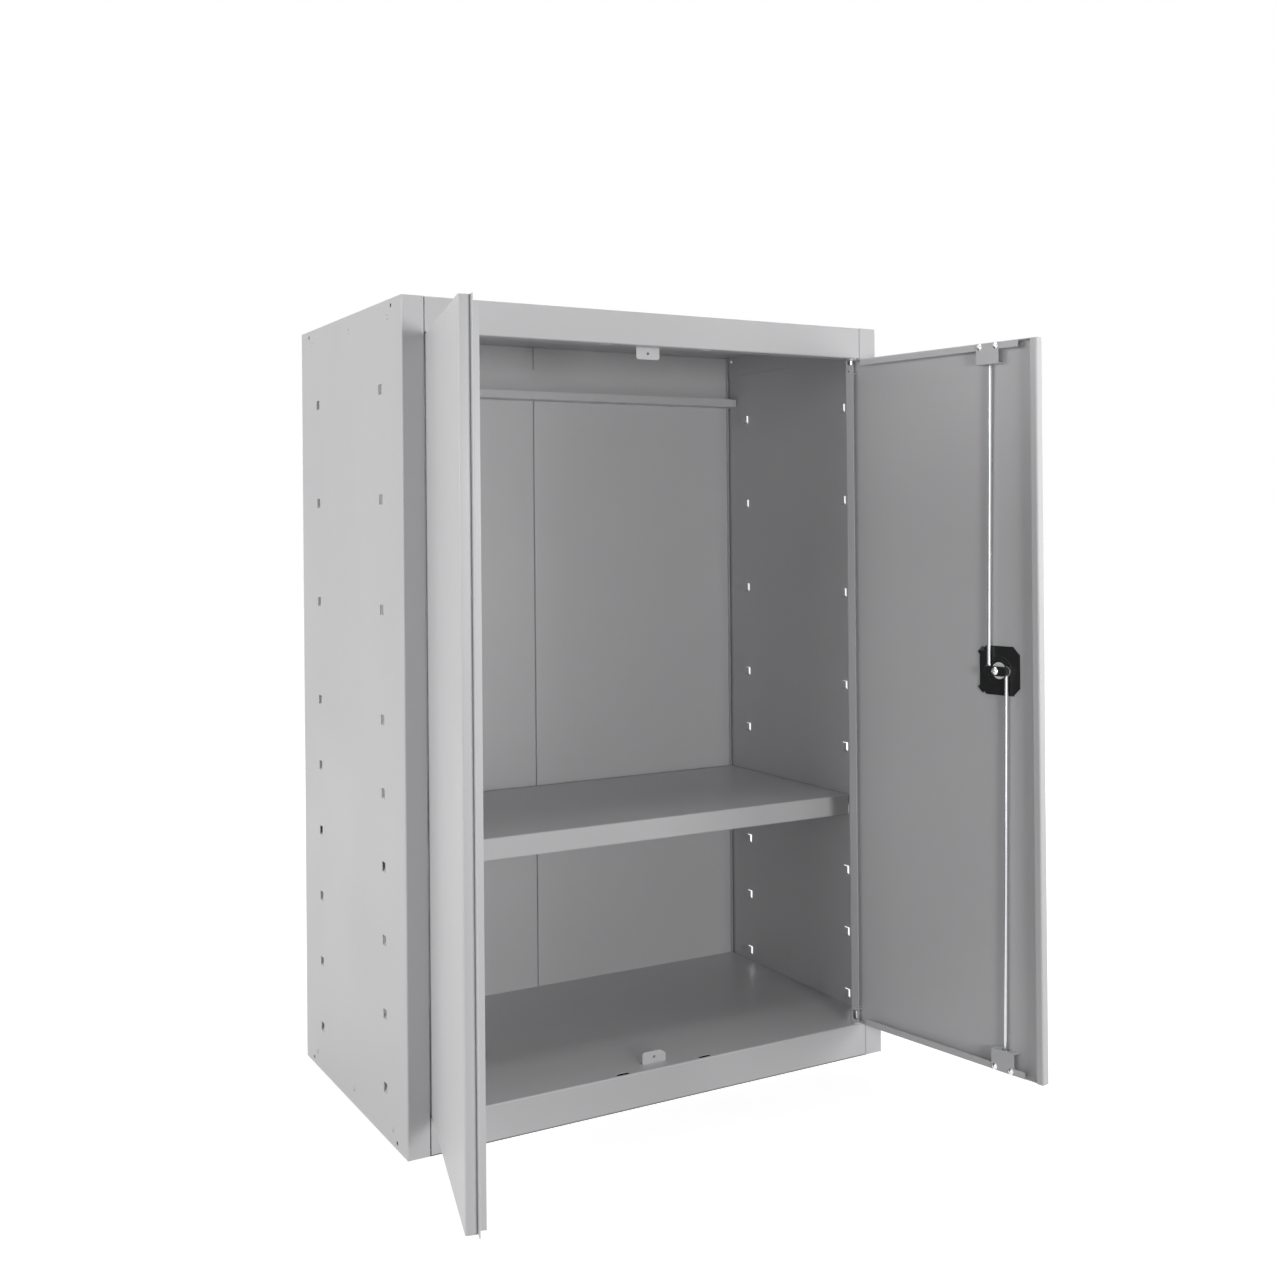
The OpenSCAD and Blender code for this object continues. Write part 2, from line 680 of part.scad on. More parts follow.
// Bar that turns with the handle and drives both rods, thicker from the spindle to the lower rod's pin
module cam_bar() color(black) at_lock() translate([0, 0, cam_v]) difference() {
    union() {
        stadium(cam_l, cam_w, cam_t);
        intersection() {
            stadium(cam_l, cam_w, cam_t + cam_rise);
            translate([-cam_l / 4, -cam_w, 0]) cube([cam_l, 2 * cam_w, cam_t + cam_rise]);
        }
    }
    for (x = [-cam_r, cam_r]) translate([x, 0, -1]) cylinder(d = rod_pin_d, h = 1 + cam_seat);
}

module cam_pins() color(zinc) at_lock() {
    seat = plate_top + washer_t + 0.1;
    for (x = [-cam_r, cam_r]) translate([x, 0, seat]) cylinder(d = rod_pin_d, h = cam_v + cam_seat - seat);
}

module cam_screw() color(zinc) at_lock() translate([0, 0, cam_v + cam_t + cam_rise]) difference() {
    rivet(screw_d, 4, 0);
    for (turn = [0, 90]) rotate([0, 0, turn]) translate([-screw_d / 4, -0.6, 1.2])
        cube([screw_d / 2, 1.2, 3]);
}

// A rod with an eye on its pin, drawn upwards from the pin, and leaning to pass its guide
module rod(reach, length) rotate([0, 0, -atan(guide_off / reach)]) rotate([-90, 0, 0]) {
    translate([0, -rod_v, eye_d / 2 - 1]) cylinder(d = rod_d, h = length - eye_d / 2 - 2);
    translate([0, -rod_v, length - 3]) cylinder(d1 = rod_d, d2 = rod_d - 2, h = 3);
    translate([0, eye_t / 2 - rod_v, 0]) rotate([90, 0, 0]) difference() {
        cylinder(d = eye_d, h = eye_t);
        translate([0, 0, -1]) cylinder(d = rod_pin_d + 2 * play, h = eye_t + 2);
    }
}

module upper_rod() color(zinc) at_lock() translate([-cam_r, 0, 0])
    rod(up_reach, door_high - lock_z - rod_back);
module lower_rod() color(zinc) at_lock() translate([cam_r, 0, 0]) rotate([0, 0, 180])
    rod(down_reach, lock_z - door_low - rod_back);

left_side_panel();
right_side_panel();
top_panel();
bottom_panel();
back_panel_left();
back_panel_right();
back_rail();
back_rivets();
shelf();
frame_rivets();
door_stop_top();
door_stop_bottom();
hinge_bushes();
left_door_panel();
closing_strip();
strip_rivets();
left_hinge_pins();
left_pin_brackets();
right_door_panel();
right_hinge_pins();
right_pin_brackets();
lock_plate();
lock_escutcheon();
rod_guide_top();
rod_guide_bottom();
guide_rivets();
turn_handle();
lock_spindle();
lock_washer();
cam_bar();
cam_pins();
cam_screw();
upper_rod();
lower_rod();
key_plug();
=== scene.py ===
# %% [markdown]
# A steel tool cabinet, folded from sheet. This lesson dresses the cabinet's measured solids for a picture.
# The solids already have the true sizes, so every new piece takes its place from them. They are drawn with
# sharp folds, though, and real sheet steel can't be folded sharp: its corners are small arcs that catch the
# light. The new pieces here are the same sheets with those arcs, worked out as grids of points with numpy.

# %% Load the cabinet
import json
import math

import bmesh
import bpy
import numpy as np
from mathutils import Matrix, Vector


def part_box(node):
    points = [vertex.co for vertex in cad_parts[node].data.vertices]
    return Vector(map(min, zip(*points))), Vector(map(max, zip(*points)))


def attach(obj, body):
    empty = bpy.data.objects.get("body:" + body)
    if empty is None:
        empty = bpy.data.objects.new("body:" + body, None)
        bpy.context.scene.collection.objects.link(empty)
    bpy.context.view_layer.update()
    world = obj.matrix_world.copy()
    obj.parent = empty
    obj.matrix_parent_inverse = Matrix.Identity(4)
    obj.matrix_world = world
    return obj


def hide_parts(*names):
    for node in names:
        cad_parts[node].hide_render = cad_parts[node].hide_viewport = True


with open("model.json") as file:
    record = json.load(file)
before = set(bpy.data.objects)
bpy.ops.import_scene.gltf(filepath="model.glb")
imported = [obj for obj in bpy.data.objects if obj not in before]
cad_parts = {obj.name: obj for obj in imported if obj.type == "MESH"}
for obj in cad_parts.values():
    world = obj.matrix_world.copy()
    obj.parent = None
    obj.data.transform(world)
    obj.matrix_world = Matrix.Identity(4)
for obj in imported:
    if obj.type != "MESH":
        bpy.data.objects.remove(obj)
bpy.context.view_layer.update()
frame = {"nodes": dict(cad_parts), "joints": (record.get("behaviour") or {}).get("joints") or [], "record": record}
MM = 0.001
joints = {joint["name"]: joint for joint in frame["joints"]}
body_of = {node: body for body, nodes in frame["record"]["behaviour"]["bodies"].items() for node in nodes}
left_wall = [np.array(corner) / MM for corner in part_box("left_side_panel")]
header = [np.array(corner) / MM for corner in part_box("top_panel")]
plinth = [np.array(corner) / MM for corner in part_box("bottom_panel")]
CAB_W = -2 * left_wall[0][0]
CAB_D = left_wall[1][1] - left_wall[0][1]
CAB_H = left_wall[1][2] - left_wall[0][2]
FRONT = left_wall[0][1]
print("cabinet", [round(float(size), 2) for size in (CAB_W, CAB_D, CAB_H)], "mm, front at y",
      round(float(FRONT), 2))

# %% [markdown]
# The camera comes first, because every later choice is judged through it. It stood to the left of the
# cabinet, 1.6 m in front and at three quarters of its height, and looked level, turned about 30 degrees to
# the right. The picture's middle isn't where the lens points, so the view is shifted, as with a shift lens,
# and uprights stay upright.

# %% Camera
PICTURE = 1276
FOCAL = 1461.5
CENTRE = (652.2, 523.4)
SENSOR = 36
CLIP_START = 0.05
STAND = (-931.0, FRONT - 1606.6, 728.1)
YAW, PITCH, ROLL = math.radians(29.72), math.radians(-0.16), math.radians(-0.50)


def look_axes(yaw, pitch, roll):
    """Right, up and forward of a camera turned from +Y towards +X by yaw, down by pitch, then rolled."""
    ahead = np.array([math.sin(yaw) * math.cos(pitch), math.cos(yaw) * math.cos(pitch), -math.sin(pitch)])
    level = np.array([math.cos(yaw), -math.sin(yaw), 0.0])
    upright = np.cross(level, ahead)
    right = math.cos(roll) * level + math.sin(roll) * upright
    up = -math.sin(roll) * level + math.cos(roll) * upright
    return right, up, ahead


right, up, ahead = look_axes(YAW, PITCH, ROLL)
lens = bpy.data.cameras.new("photo_camera")
camera = bpy.data.objects.new("photo_camera", lens)
bpy.context.collection.objects.link(camera)
lens.sensor_width = SENSOR
lens.lens = FOCAL / PICTURE * lens.sensor_width
lens.shift_x = (PICTURE / 2 - CENTRE[0]) / PICTURE
lens.shift_y = (CENTRE[1] - PICTURE / 2) / PICTURE
lens.clip_start = CLIP_START
turn = Matrix([list(row) for row in np.array([right, up, -ahead]).T]).to_4x4()
camera.matrix_world = Matrix.Translation(Vector(STAND) * MM) @ turn
bpy.context.scene.camera = camera
bpy.context.scene.view_settings.view_transform = "Standard"
print("lens", round(lens.lens, 2), "mm, shift", round(lens.shift_x, 4), round(lens.shift_y, 4))

# %% [markdown]
# Materials need two small helpers. Screens store colours on a curve, while light adds up in a straight line,
# so one function turns a hex colour into the straight values that shaders want. The other adds a node, sets
# it and links it in one call. That keeps each material readable as a list of what feeds what.

# %% Colour and node helpers


def linear(hex_colour):
    """sRGB hex to linear RGBA: each channel over 255, then the sRGB curve undone."""
    srgb = np.array([int(hex_colour[i:i + 2], 16) for i in (1, 3, 5)]) / 255
    straight = np.where(srgb <= 0.04045, srgb / 12.92, ((srgb + 0.055) / 1.055) ** 2.4)
    return (*straight.tolist(), 1.0)


def new_material(name):
    """An empty node material with its output node."""
    material = bpy.data.materials.new(name)
    material.use_nodes = True
    material.node_tree.nodes.clear()
    return material, add_node(material, "ShaderNodeOutputMaterial")


def add_node(owner, kind, inputs=None, **settings):
    """Add a node to a material or world, with its settings, and give each input a value or a link."""
    tree = owner.node_tree
    made = tree.nodes.new(kind)
    for name, value in settings.items():
        setattr(made, name, value)
    for name, value in (inputs or {}).items():
        if isinstance(value, bpy.types.NodeSocket):
            tree.links.new(value, made.inputs[name])
        else:
            made.inputs[name].default_value = value
    return made


print("a screen's middle grey #808080 is", round(linear("#808080")[0], 3), "of white in straight light")

# %% [markdown]
# The cabinet is powder coated: a dry polyester powder is sprayed on and baked until it flows. It levels less
# than wet paint, so its semi-gloss skin keeps a soft waviness, called orange peel, a few millimetres across.
# That is what breaks up reflections on the big flat panels. Two noises make it: a bump of 4 mm waves with a
# finer grain on top, and a broad one that lets gloss and tint drift slightly, as handling and baking leave
# them.

# %% Powder-coated steel
PEEL_WAVE = 4.0 * MM
GRAIN = 1.4 * MM
DRIFT = 180 * MM


def powder_coat(name, colour, shade, roughness=0.36):
    """Baked polyester powder: base colour drifting towards shade, gloss drifting with it, orange-peel bump."""
    material, output = new_material(name)
    place = add_node(material, "ShaderNodeTexCoord").outputs["Object"]
    drift = add_node(material, "ShaderNodeTexNoise", {"Vector": place, "Scale": 1 / DRIFT, "Detail": 3.0})
    tint = add_node(material, "ShaderNodeMix", {0: drift.outputs["Fac"], 6: linear(colour), 7: linear(shade)},
                    data_type="RGBA")
    gloss = add_node(material, "ShaderNodeMapRange", {"Value": drift.outputs["Fac"], "From Min": 0.3,
                     "From Max": 0.7, "To Min": roughness - 0.03, "To Max": roughness + 0.04})
    peel = add_node(material, "ShaderNodeTexNoise", {"Vector": place, "Scale": 1 / PEEL_WAVE, "Detail": 1.0})
    grain = add_node(material, "ShaderNodeTexNoise", {"Vector": place, "Scale": 1 / GRAIN, "Detail": 2.0})
    wave = add_node(material, "ShaderNodeBump", {"Height": peel.outputs["Fac"], "Strength": 0.25,
                    "Distance": 0.05 * MM})
    skin = add_node(material, "ShaderNodeBump", {"Height": grain.outputs["Fac"], "Strength": 0.3,
                    "Distance": 0.02 * MM, "Normal": wave.outputs["Normal"]})
    coat = add_node(material, "ShaderNodeBsdfPrincipled", {"Base Color": tint.outputs[2],
                    "Roughness": gloss.outputs["Result"], "IOR": 1.5, "Normal": skin.outputs["Normal"]})
    material.node_tree.links.new(coat.outputs["BSDF"], output.inputs["Surface"])
    return material


light_grey = powder_coat("light_grey_powder_coat", "#cccccd", "#c7c7c9")
print(light_grey.name, "with orange peel of", PEEL_WAVE / MM, "mm")

# %% [markdown]
# Small fittings are plated steel. Zinc plating is deposited in a bath and then passivated, which leaves a
# silver surface with faint cloudy spangles and a bluish cast. The hinge pins, screws and rivets are brighter:
# polished or turned steel, nearly a mirror. The rods are drawn through a die, which leaves them a little
# duller, and the lock's washer is satin nickel, rough enough to spread the light over its whole face. For
# metals the colour sits in the reflection, so metallic is 1 and the default IOR stays.

# %% Plated, polished and drawn metal


def plated_steel(name, colour, dull, low, high, cloud=6 * MM):
    """Metal whose roughness runs from low to high in soft clouds and whose colour drifts to a duller tone."""
    material, output = new_material(name)
    place = add_node(material, "ShaderNodeTexCoord").outputs["Object"]
    clouds = add_node(material, "ShaderNodeTexNoise", {"Vector": place, "Scale": 1 / cloud, "Detail": 4.0})
    tint = add_node(material, "ShaderNodeMix", {0: clouds.outputs["Fac"], 6: linear(colour), 7: linear(dull)},
                    data_type="RGBA")
    gloss = add_node(material, "ShaderNodeMapRange", {"Value": clouds.outputs["Fac"], "From Min": 0.3,
                     "From Max": 0.7, "To Min": low, "To Max": high})
    grain = add_node(material, "ShaderNodeBump", {"Height": clouds.outputs["Fac"], "Strength": 0.15,
                     "Distance": 0.02 * MM})
    metal = add_node(material, "ShaderNodeBsdfPrincipled", {"Base Color": tint.outputs[2], "Metallic": 1.0,
                     "Roughness": gloss.outputs["Result"], "Normal": grain.outputs["Normal"]})
    material.node_tree.links.new(metal.outputs["BSDF"], output.inputs["Surface"])
    return material


zinc = plated_steel("zinc_plated_steel", "#dfe1e4", "#cfd2d7", 0.24, 0.40)
bright = plated_steel("polished_steel", "#ececec", "#dcdddf", 0.10, 0.20, cloud=3 * MM)
rod_steel = plated_steel("bright_drawn_rod", "#e6e7e8", "#d6d7d9", 0.18, 0.28, cloud=12 * MM)
satin = plated_steel("satin_nickel_washer", "#f3f3f2", "#e9e9e8", 0.52, 0.62)
print("metals:", ", ".join(metal.name for metal in (zinc, bright, rod_steel, satin)))

# %% [markdown]
# The lock plate, the rose and the handle are moulded from black plastic with a fine satin texture, and the
# cam bar is blackened steel, whose oxide skin has no metallic shine, so the same recipe serves it with a
# coarser grain. Black parts show their form only by gloss, so the texture matters: a spark-eroded mould
# leaves a grain of about half a millimetre. The bushes are natural nylon, slightly yellow and waxy, where
# some light enters the surface and comes out beside it.

# %% Moulded plastics and blackened steel
SCATTER_DEPTH = (2 * MM, 2 * MM, 1.5 * MM)


def moulded_plastic(name, colour, roughness, grain_size=0.5 * MM, depth=0.02 * MM, inside=0.0):
    """Grainy black or plastic surface; inside is the share of light that scatters under the surface."""
    material, output = new_material(name)
    place = add_node(material, "ShaderNodeTexCoord").outputs["Object"]
    grain = add_node(material, "ShaderNodeTexNoise", {"Vector": place, "Scale": 1 / grain_size, "Detail": 2.0})
    bump = add_node(material, "ShaderNodeBump", {"Height": grain.outputs["Fac"], "Strength": 0.4,
                    "Distance": depth})
    body = add_node(material, "ShaderNodeBsdfPrincipled", {"Base Color": linear(colour),
                    "Roughness": roughness, "IOR": 1.46, "Normal": bump.outputs["Normal"],
                    "Subsurface Weight": inside})
    body.inputs["Subsurface Radius"].default_value = SCATTER_DEPTH
    material.node_tree.links.new(body.outputs["BSDF"], output.inputs["Surface"])
    return material


black_plastic = moulded_plastic("black_abs_plastic", "#101112", 0.42)
black_steel = moulded_plastic("blackened_steel", "#202124", 0.30, grain_size=1.5 * MM)
nylon = moulded_plastic("natural_nylon", "#e4e1d6", 0.5, inside=0.15)
print("moulded or black:", ", ".join(finish.name for finish in (black_plastic, black_steel, nylon)))

# %% [markdown]
# Now the main tool: a bent sheet. Its section is a line of straight runs between corners, with an arc at each
# corner, and the sheet is that section pushed sideways. So a point is a function of two numbers, s along the
# section and w along the push. Slots, windows and notches are cut by leaving cells of the grid out, and round
# holes by adding small fans between a cell's corner and the circle. A Boolean would also cut them, but it
# leaves long thin faces, and this way every edge is known.

# %% The bent section
SHEET = 1.0
BEND = 1.5
ARC_STEPS = 6


def bent_line(corners, radii, s):
    """Place and left-hand normal at distance s along a sharp outline whose corners are rounded.

    Near a corner, closer than radius times the tangent of half the turn, the line is the arc that touches both
    runs, and its heading turns evenly from one run's to the next. Elsewhere it lies on the straight run.
    """
    corners = np.asarray(corners, float)
    runs = np.diff(corners, axis=0)
    lengths = np.hypot(*runs.T)
    starts = np.concatenate([[0], np.cumsum(lengths)])
    headings = np.unwrap(np.arctan2(runs[:, 1], runs[:, 0]))
    turns = np.diff(headings)
    s = np.asarray(s, float)
    run = np.clip(np.searchsorted(starts, s, side="right") - 1, 0, len(runs) - 1)
    place = corners[run] + ((s - starts[run]) / lengths[run])[:, None] * runs[run]
    heading = headings[run].copy()
    for corner, (radius, turn_angle) in enumerate(zip(radii, turns)):
        reach = radius * np.tan(abs(turn_angle) / 2)
        near = np.abs(s - starts[corner + 1]) <= reach + 1e-9
        share = (s[near] - starts[corner + 1] + reach) / (2 * reach)
        side = np.sign(turn_angle)
        first = headings[corner]
        middle = (corners[corner + 1] - reach * np.array([np.cos(first), np.sin(first)])
                  + side * radius * np.array([-np.sin(first), np.cos(first)]))
        heading[near] = first + share * turn_angle
        left = np.stack([-np.sin(heading[near]), np.cos(heading[near])], axis=1)
        place[near] = middle - side * radius * left
    return place, np.stack([-np.sin(heading), np.cos(heading)], axis=1)


def section_marks(corners, radii):
    """Distances along the section where its grid needs a line: both ends, then steps through each arc."""
    corners = np.asarray(corners, float)
    runs = np.diff(corners, axis=0)
    starts = np.concatenate([[0], np.cumsum(np.hypot(*runs.T))])
    turns = np.diff(np.unwrap(np.arctan2(runs[:, 1], runs[:, 0])))
    reach = np.asarray(radii) * np.tan(np.abs(turns) / 2)
    arcs = starts[1:-1, None] + reach[:, None] * np.linspace(-1, 1, ARC_STEPS + 1)
    return np.concatenate([[0, starts[-1]], arcs.ravel()])


square_corner = np.array([10.0, 0.0])
middle_of_bend = bent_line([(0, 0), square_corner, (10, 10)], [BEND], [10.0])[0][0]
print("a bend of", BEND, "mm passes its corner", round(float(np.hypot(*(middle_of_bend - square_corner))), 2),
      "mm inside it")

# %% [markdown]
# A grid of straight lines can only be cut with straight edges. For a round hole, or a slot with round ends,
# the corner cells of the cut stay open, and a fan of triangles fills the part of each that is outside the
# circle. The fan needs only a quarter circle, the corner's tip and the same bent line as the sheet. Such
# pieces are then joined: their points go in one list, and the numbers in their faces move on.

# %% Round corners of a cut
FAN_STEPS = 6


def hole_corner(corners, radii, s0, s1, w0, w1, r, side_s, side_w):
    """Fans between one corner of a cut and its quarter circle, on both layers, with the wall along the arc."""
    angle = np.linspace(0, np.pi / 2, FAN_STEPS + 1)
    tip = np.array([[s1 if side_s > 0 else s0, w1 if side_w > 0 else w0]])
    outwards = np.array([side_s, side_w])
    arc = tip - r * outwards + r * outwards * np.stack([np.cos(angle), np.sin(angle)], axis=1)
    flat = np.concatenate([tip, arc])
    place, normal = bent_line(corners, radii, flat[:, 0])
    layers = [np.column_stack([place + sign * normal * SHEET / 2, flat[:, 1]]) for sign in (1, -1)]
    count = len(flat)
    k = np.arange(1, count - 1)
    fans = [[0, a, a + 1] for a in k] + [[count, count + a + 1, count + a] for a in k]
    walls = [[a, a + 1, count + a + 1, count + a] for a in k]
    return np.concatenate(layers), [[int(x) for x in face] for face in fans + walls]


def joined(pieces):
    """Several (points, faces) as one, with the face numbers moved on."""
    points = []
    faces = []
    start = 0
    for some_points, some_faces in pieces:
        points.append(np.asarray(some_points, float))
        faces += [[start + k for k in face] for face in some_faces]
        start += len(some_points)
    return np.concatenate(points), faces


print("a round hole gets", 4 * FAN_STEPS, "sides")

# %% [markdown]
# The grid itself has two layers, one for each face of the sheet, half a thickness to either side of the
# section. A table of true and false says which cells are steel. Faces go on both layers of a steel cell, and
# a wall joins the layers wherever steel meets a gap. Points that no face uses are dropped when the mesh is
# made.

# %% The sheet as a masked grid


def sheet_grid(corners, low, high, cuts=(), radii=None):
    """Points (u, v, w) and faces of a bent sheet that runs from low to high along w.

    A cut is (s0, s1, w0, w1, r): the cells inside it are left out, and r rounds its corners. Points are the
    bent line plus or minus half the sheet along its normal, for every pair of section mark and w mark.
    """
    radii = [BEND] * (len(corners) - 2) if radii is None else radii
    marks = section_marks(corners, radii)
    length = marks[1]
    s_lines = [marks]
    w_lines = [[low, high]]
    for s0, s1, w0, w1, r in cuts:
        s_lines.append([s0, s0 + r, s1 - r, s1])
        w_lines.append([w0, w0 + r, w1 - r, w1])
    s_lines = np.unique(np.round(np.clip(np.concatenate(s_lines), 0, length), 5))
    w_lines = np.unique(np.round(np.clip(np.concatenate(w_lines), low, high), 5))
    place, normal = bent_line(corners, radii, s_lines)
    count_s, count_w = len(s_lines), len(w_lines)
    layers = np.stack([place + normal * SHEET / 2, place - normal * SHEET / 2])
    points = np.concatenate([np.repeat(layers[:, :, None, :], count_w, axis=2),
                             np.broadcast_to(w_lines[None, None, :, None], (2, count_s, count_w, 1))], axis=3)
    s_mid = (s_lines[1:] + s_lines[:-1])[:, None] / 2
    w_mid = (w_lines[1:] + w_lines[:-1])[None, :] / 2
    steel = np.ones((count_s - 1, count_w - 1), bool)
    rounded = np.zeros_like(steel)
    for s0, s1, w0, w1, r in cuts:
        inside = (s_mid > s0) & (s_mid < s1) & (w_mid > w0) & (w_mid < w1)
        steel &= ~inside
        near_s = (s_mid < s0 + r) | (s_mid > s1 - r)
        near_w = (w_mid < w0 + r) | (w_mid > w1 - r)
        rounded |= inside & near_s & near_w & (r > 0)
    index = np.arange(2 * count_s * count_w).reshape(2, count_s, count_w)
    i, j = np.nonzero(steel)
    front = np.stack([index[0, i, j], index[0, i, j + 1], index[0, i + 1, j + 1], index[0, i + 1, j]], axis=1)
    back = np.stack([index[1, i, j], index[1, i + 1, j], index[1, i + 1, j + 1], index[1, i, j + 1]], axis=1)
    gap = ~steel & ~rounded
    gap = np.pad(gap, 1, constant_values=True)
    solid = np.pad(steel, 1, constant_values=False)
    i, j = np.nonzero((solid[1:, 1:-1] & gap[:-1, 1:-1]) | (gap[1:, 1:-1] & solid[:-1, 1:-1]))
    across = np.stack([index[0, i, j], index[0, i, j + 1], index[1, i, j + 1], index[1, i, j]], axis=1)
    i, j = np.nonzero((solid[1:-1, 1:] & gap[1:-1, :-1]) | (gap[1:-1, 1:] & solid[1:-1, :-1]))
    along = np.stack([index[0, i, j], index[0, i + 1, j], index[1, i + 1, j], index[1, i, j]], axis=1)
    pieces = [(points.reshape(-1, 3), np.concatenate([front, back, across, along]).tolist())]
    for s0, s1, w0, w1, r in cuts:
        if r > 0:
            pieces += [hole_corner(corners, radii, s0, s1, w0, w1, r, a, b) for a in (-1, 1) for b in (-1, 1)]
    return joined(pieces)


sample_points, sample_faces = sheet_grid([(0, 0), (10, 0), (10, 10)], 0, 20)
print("a plain angle needs", len(sample_points), "points and", len(sample_faces), "faces")

# %% [markdown]
# A piece is made in a local frame that suits it, such as a door's own width, depth and height, and then
# placed by three axes and an origin. Putting the place into the mesh leaves the object at the world's origin,
# so patterns on object coordinates stay where they are. Meeting points are merged, loose ones dropped, and
# the faces turned outwards.

# %% Make a piece
WELD = 0.002 * MM


def placed(part, axes, origin):
    """(points, faces) moved from local millimetres: origin plus each coordinate times its axis."""
    points, faces = part
    return points @ np.asarray(axes, float) + np.asarray(origin, float), faces


def make_piece(name, parts, material, body, replaces=(), smooth=None):
    """A mesh object from parts in millimetres, riding on body and standing for the CAD nodes in replaces.

    smooth is the angle in degrees up to which neighbouring faces are shaded as one surface.
    """
    points, faces = joined(parts)
    mesh = bpy.data.meshes.new(name)
    mesh.from_pydata((points * MM).tolist(), [], faces)
    shape = bmesh.new()
    shape.from_mesh(mesh)
    bmesh.ops.remove_doubles(shape, verts=shape.verts, dist=WELD)
    bmesh.ops.delete(shape, geom=[v for v in shape.verts if not v.link_faces], context="VERTS")
    bmesh.ops.recalc_face_normals(shape, faces=shape.faces)
    shape.to_mesh(mesh)
    open_edges = sum(1 for edge in shape.edges if len(edge.link_faces) != 2)
    shape.free()
    if smooth is not None:
        mesh.polygons.foreach_set("use_smooth", [True] * len(mesh.polygons))
        mesh.set_sharp_from_angle(angle=math.radians(smooth))
    mesh.materials.append(material)
    piece = bpy.data.objects.new(name, mesh)
    bpy.context.collection.objects.link(piece)
    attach(piece, body)
    if replaces:
        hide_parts(*replaces)
    print(name, len(mesh.polygons), "faces,", open_edges, "open edges")
    return piece


def hole(s, w, diameter):
    """A round hole as a cut: a square of the diameter with fully rounded corners."""
    half = diameter / 2
    return (s - half, s + half, w - half, w + half, half)


def stadium(s, w, length_s, length_w):
    """A slot with round ends as a cut, lying along its longer side."""
    half_s, half_w = length_s / 2, length_w / 2
    return (s - half_s, s + half_s, w - half_w, w + half_w, min(half_s, half_w))


print("points closer than", WELD / MM, "mm become one")

# %% [markdown]
# The side walls are one sheet each, seen here in plan: from the post's inner return, round the post's face,
# along the wall and round to the lip that carries the back. Windows are left for the lugs, and each corner of
# the wall has a round hole. Both ends of the section stop just under the top's sheet.

# %% Side walls
POST, POST_RETURN = 28, 15
REAR_POST, REAR_LIP, BACK_RECESS = 22, 12, 20
TOE_H = plinth[1][2]
LUG_H, LUG_W, LUG_INSET = 13, 12, 75
LUG_Y = (LUG_INSET, CAB_D - LUG_INSET)
LUG_ABOVE_FLOOR, LOW_PITCH, HIGH_PITCH, LOW_ROWS, HIGH_ROWS = 16, 88, 132, 6, 3
CORNER_LEVEL, CORNER_INSET, CORNER_D = 8, 36, 5
FIT = 0.6
SHORT_OF_BEND = 1.2
UNDER_TOP = CAB_H - SHEET - FIT
UP = [0, 0, 1]
half = SHEET / 2
low_rows = TOE_H + LUG_ABOVE_FLOOR + LOW_PITCH * np.arange(LOW_ROWS)
lug_z = np.concatenate([low_rows, low_rows[-1] + HIGH_PITCH * np.arange(1, HIGH_ROWS + 1)])


def side_wall():
    """Plan section of the left wall, extruded upwards, with x from the outer face and y from the front."""
    section = [(POST - half, POST_RETURN), (POST - half, half), (half, half), (half, CAB_D - half),
               (REAR_POST - half, CAB_D - half), (REAR_POST - half, CAB_D - BACK_RECESS + half),
               (REAR_POST + REAR_LIP, CAB_D - BACK_RECESS + half)]
    before_wall = (POST_RETURN - half) + (POST - SHEET) - half
    total = section_marks(section, [BEND] * 5)[1]
    openings = [(before_wall + y - LUG_W / 2, before_wall + y + LUG_W / 2, z - LUG_H / 2, z + LUG_H / 2, 0)
                for y in LUG_Y for z in lug_z]
    corner_holes = [hole(before_wall + y, z, CORNER_D) for y in (CORNER_INSET, CAB_D - CORNER_INSET)
                    for z in (CORNER_LEVEL, CAB_H - CORNER_LEVEL)]
    lip_start = total - REAR_LIP - BACK_RECESS
    ends = [(0, POST_RETURN - SHORT_OF_BEND, UNDER_TOP, CAB_H, 0), (lip_start, total, UNDER_TOP, CAB_H, 0)]
    return sheet_grid(section, 0, CAB_H, openings + corner_holes + ends)


wall_part = side_wall()
print("lugs at heights", np.round(lug_z, 1).tolist())

# %% [markdown]
# The shelf hangs on lugs: small tongues cut free on three sides and pressed inwards. From outside only a dark
# slit shows at a lug's far edge, and from inside its near edge and its top let a hair of light through. A lug
# is the same bent sheet again, in a section of its own. The right wall is the left one mirrored, by turning
# its x round.

# %% Lugs
LUG_SLIT, LUG_HEEL, LUG_STEP, LUG_RISE = 0.3, 0.4, 3.5, 3.5
LUG_BENDS = [0.6, 0.8]


def lug():
    """Upright section of a lug, from the wall over a step to its raised tongue, extruded front to back."""
    low, reach = -LUG_H / 2, LUG_W / 2 - LUG_SLIT
    raised = half + LUG_RISE
    section = [(half, low), (half, low + LUG_HEEL), (raised, low + LUG_STEP), (raised, -low)]
    return sheet_grid(section, -reach, reach, radii=LUG_BENDS)


lug_part = lug()
for side, name in ((1, "left_side_panel"), (-1, "right_side_panel")):
    x = -side * CAB_W / 2
    lugs = [placed(lug_part, [[side, 0, 0], UP, [0, 1, 0]], (x, FRONT + y, z)) for y in LUG_Y for z in lug_z]
    make_piece("folded_" + name, [placed(wall_part, [[side, 0, 0], [0, 1, 0], UP], (x, FRONT, 0))] + lugs,
               light_grey, "cabinet", [name])

# %% [markdown]
# The top and bottom are trays. The top one is turned over: its header goes down in front and turns in as a
# lip with slots for the lock's rods. It is narrower in front and behind, where it fits between the posts. Its
# flanges stand against the walls, with holes that meet the walls' corner holes.

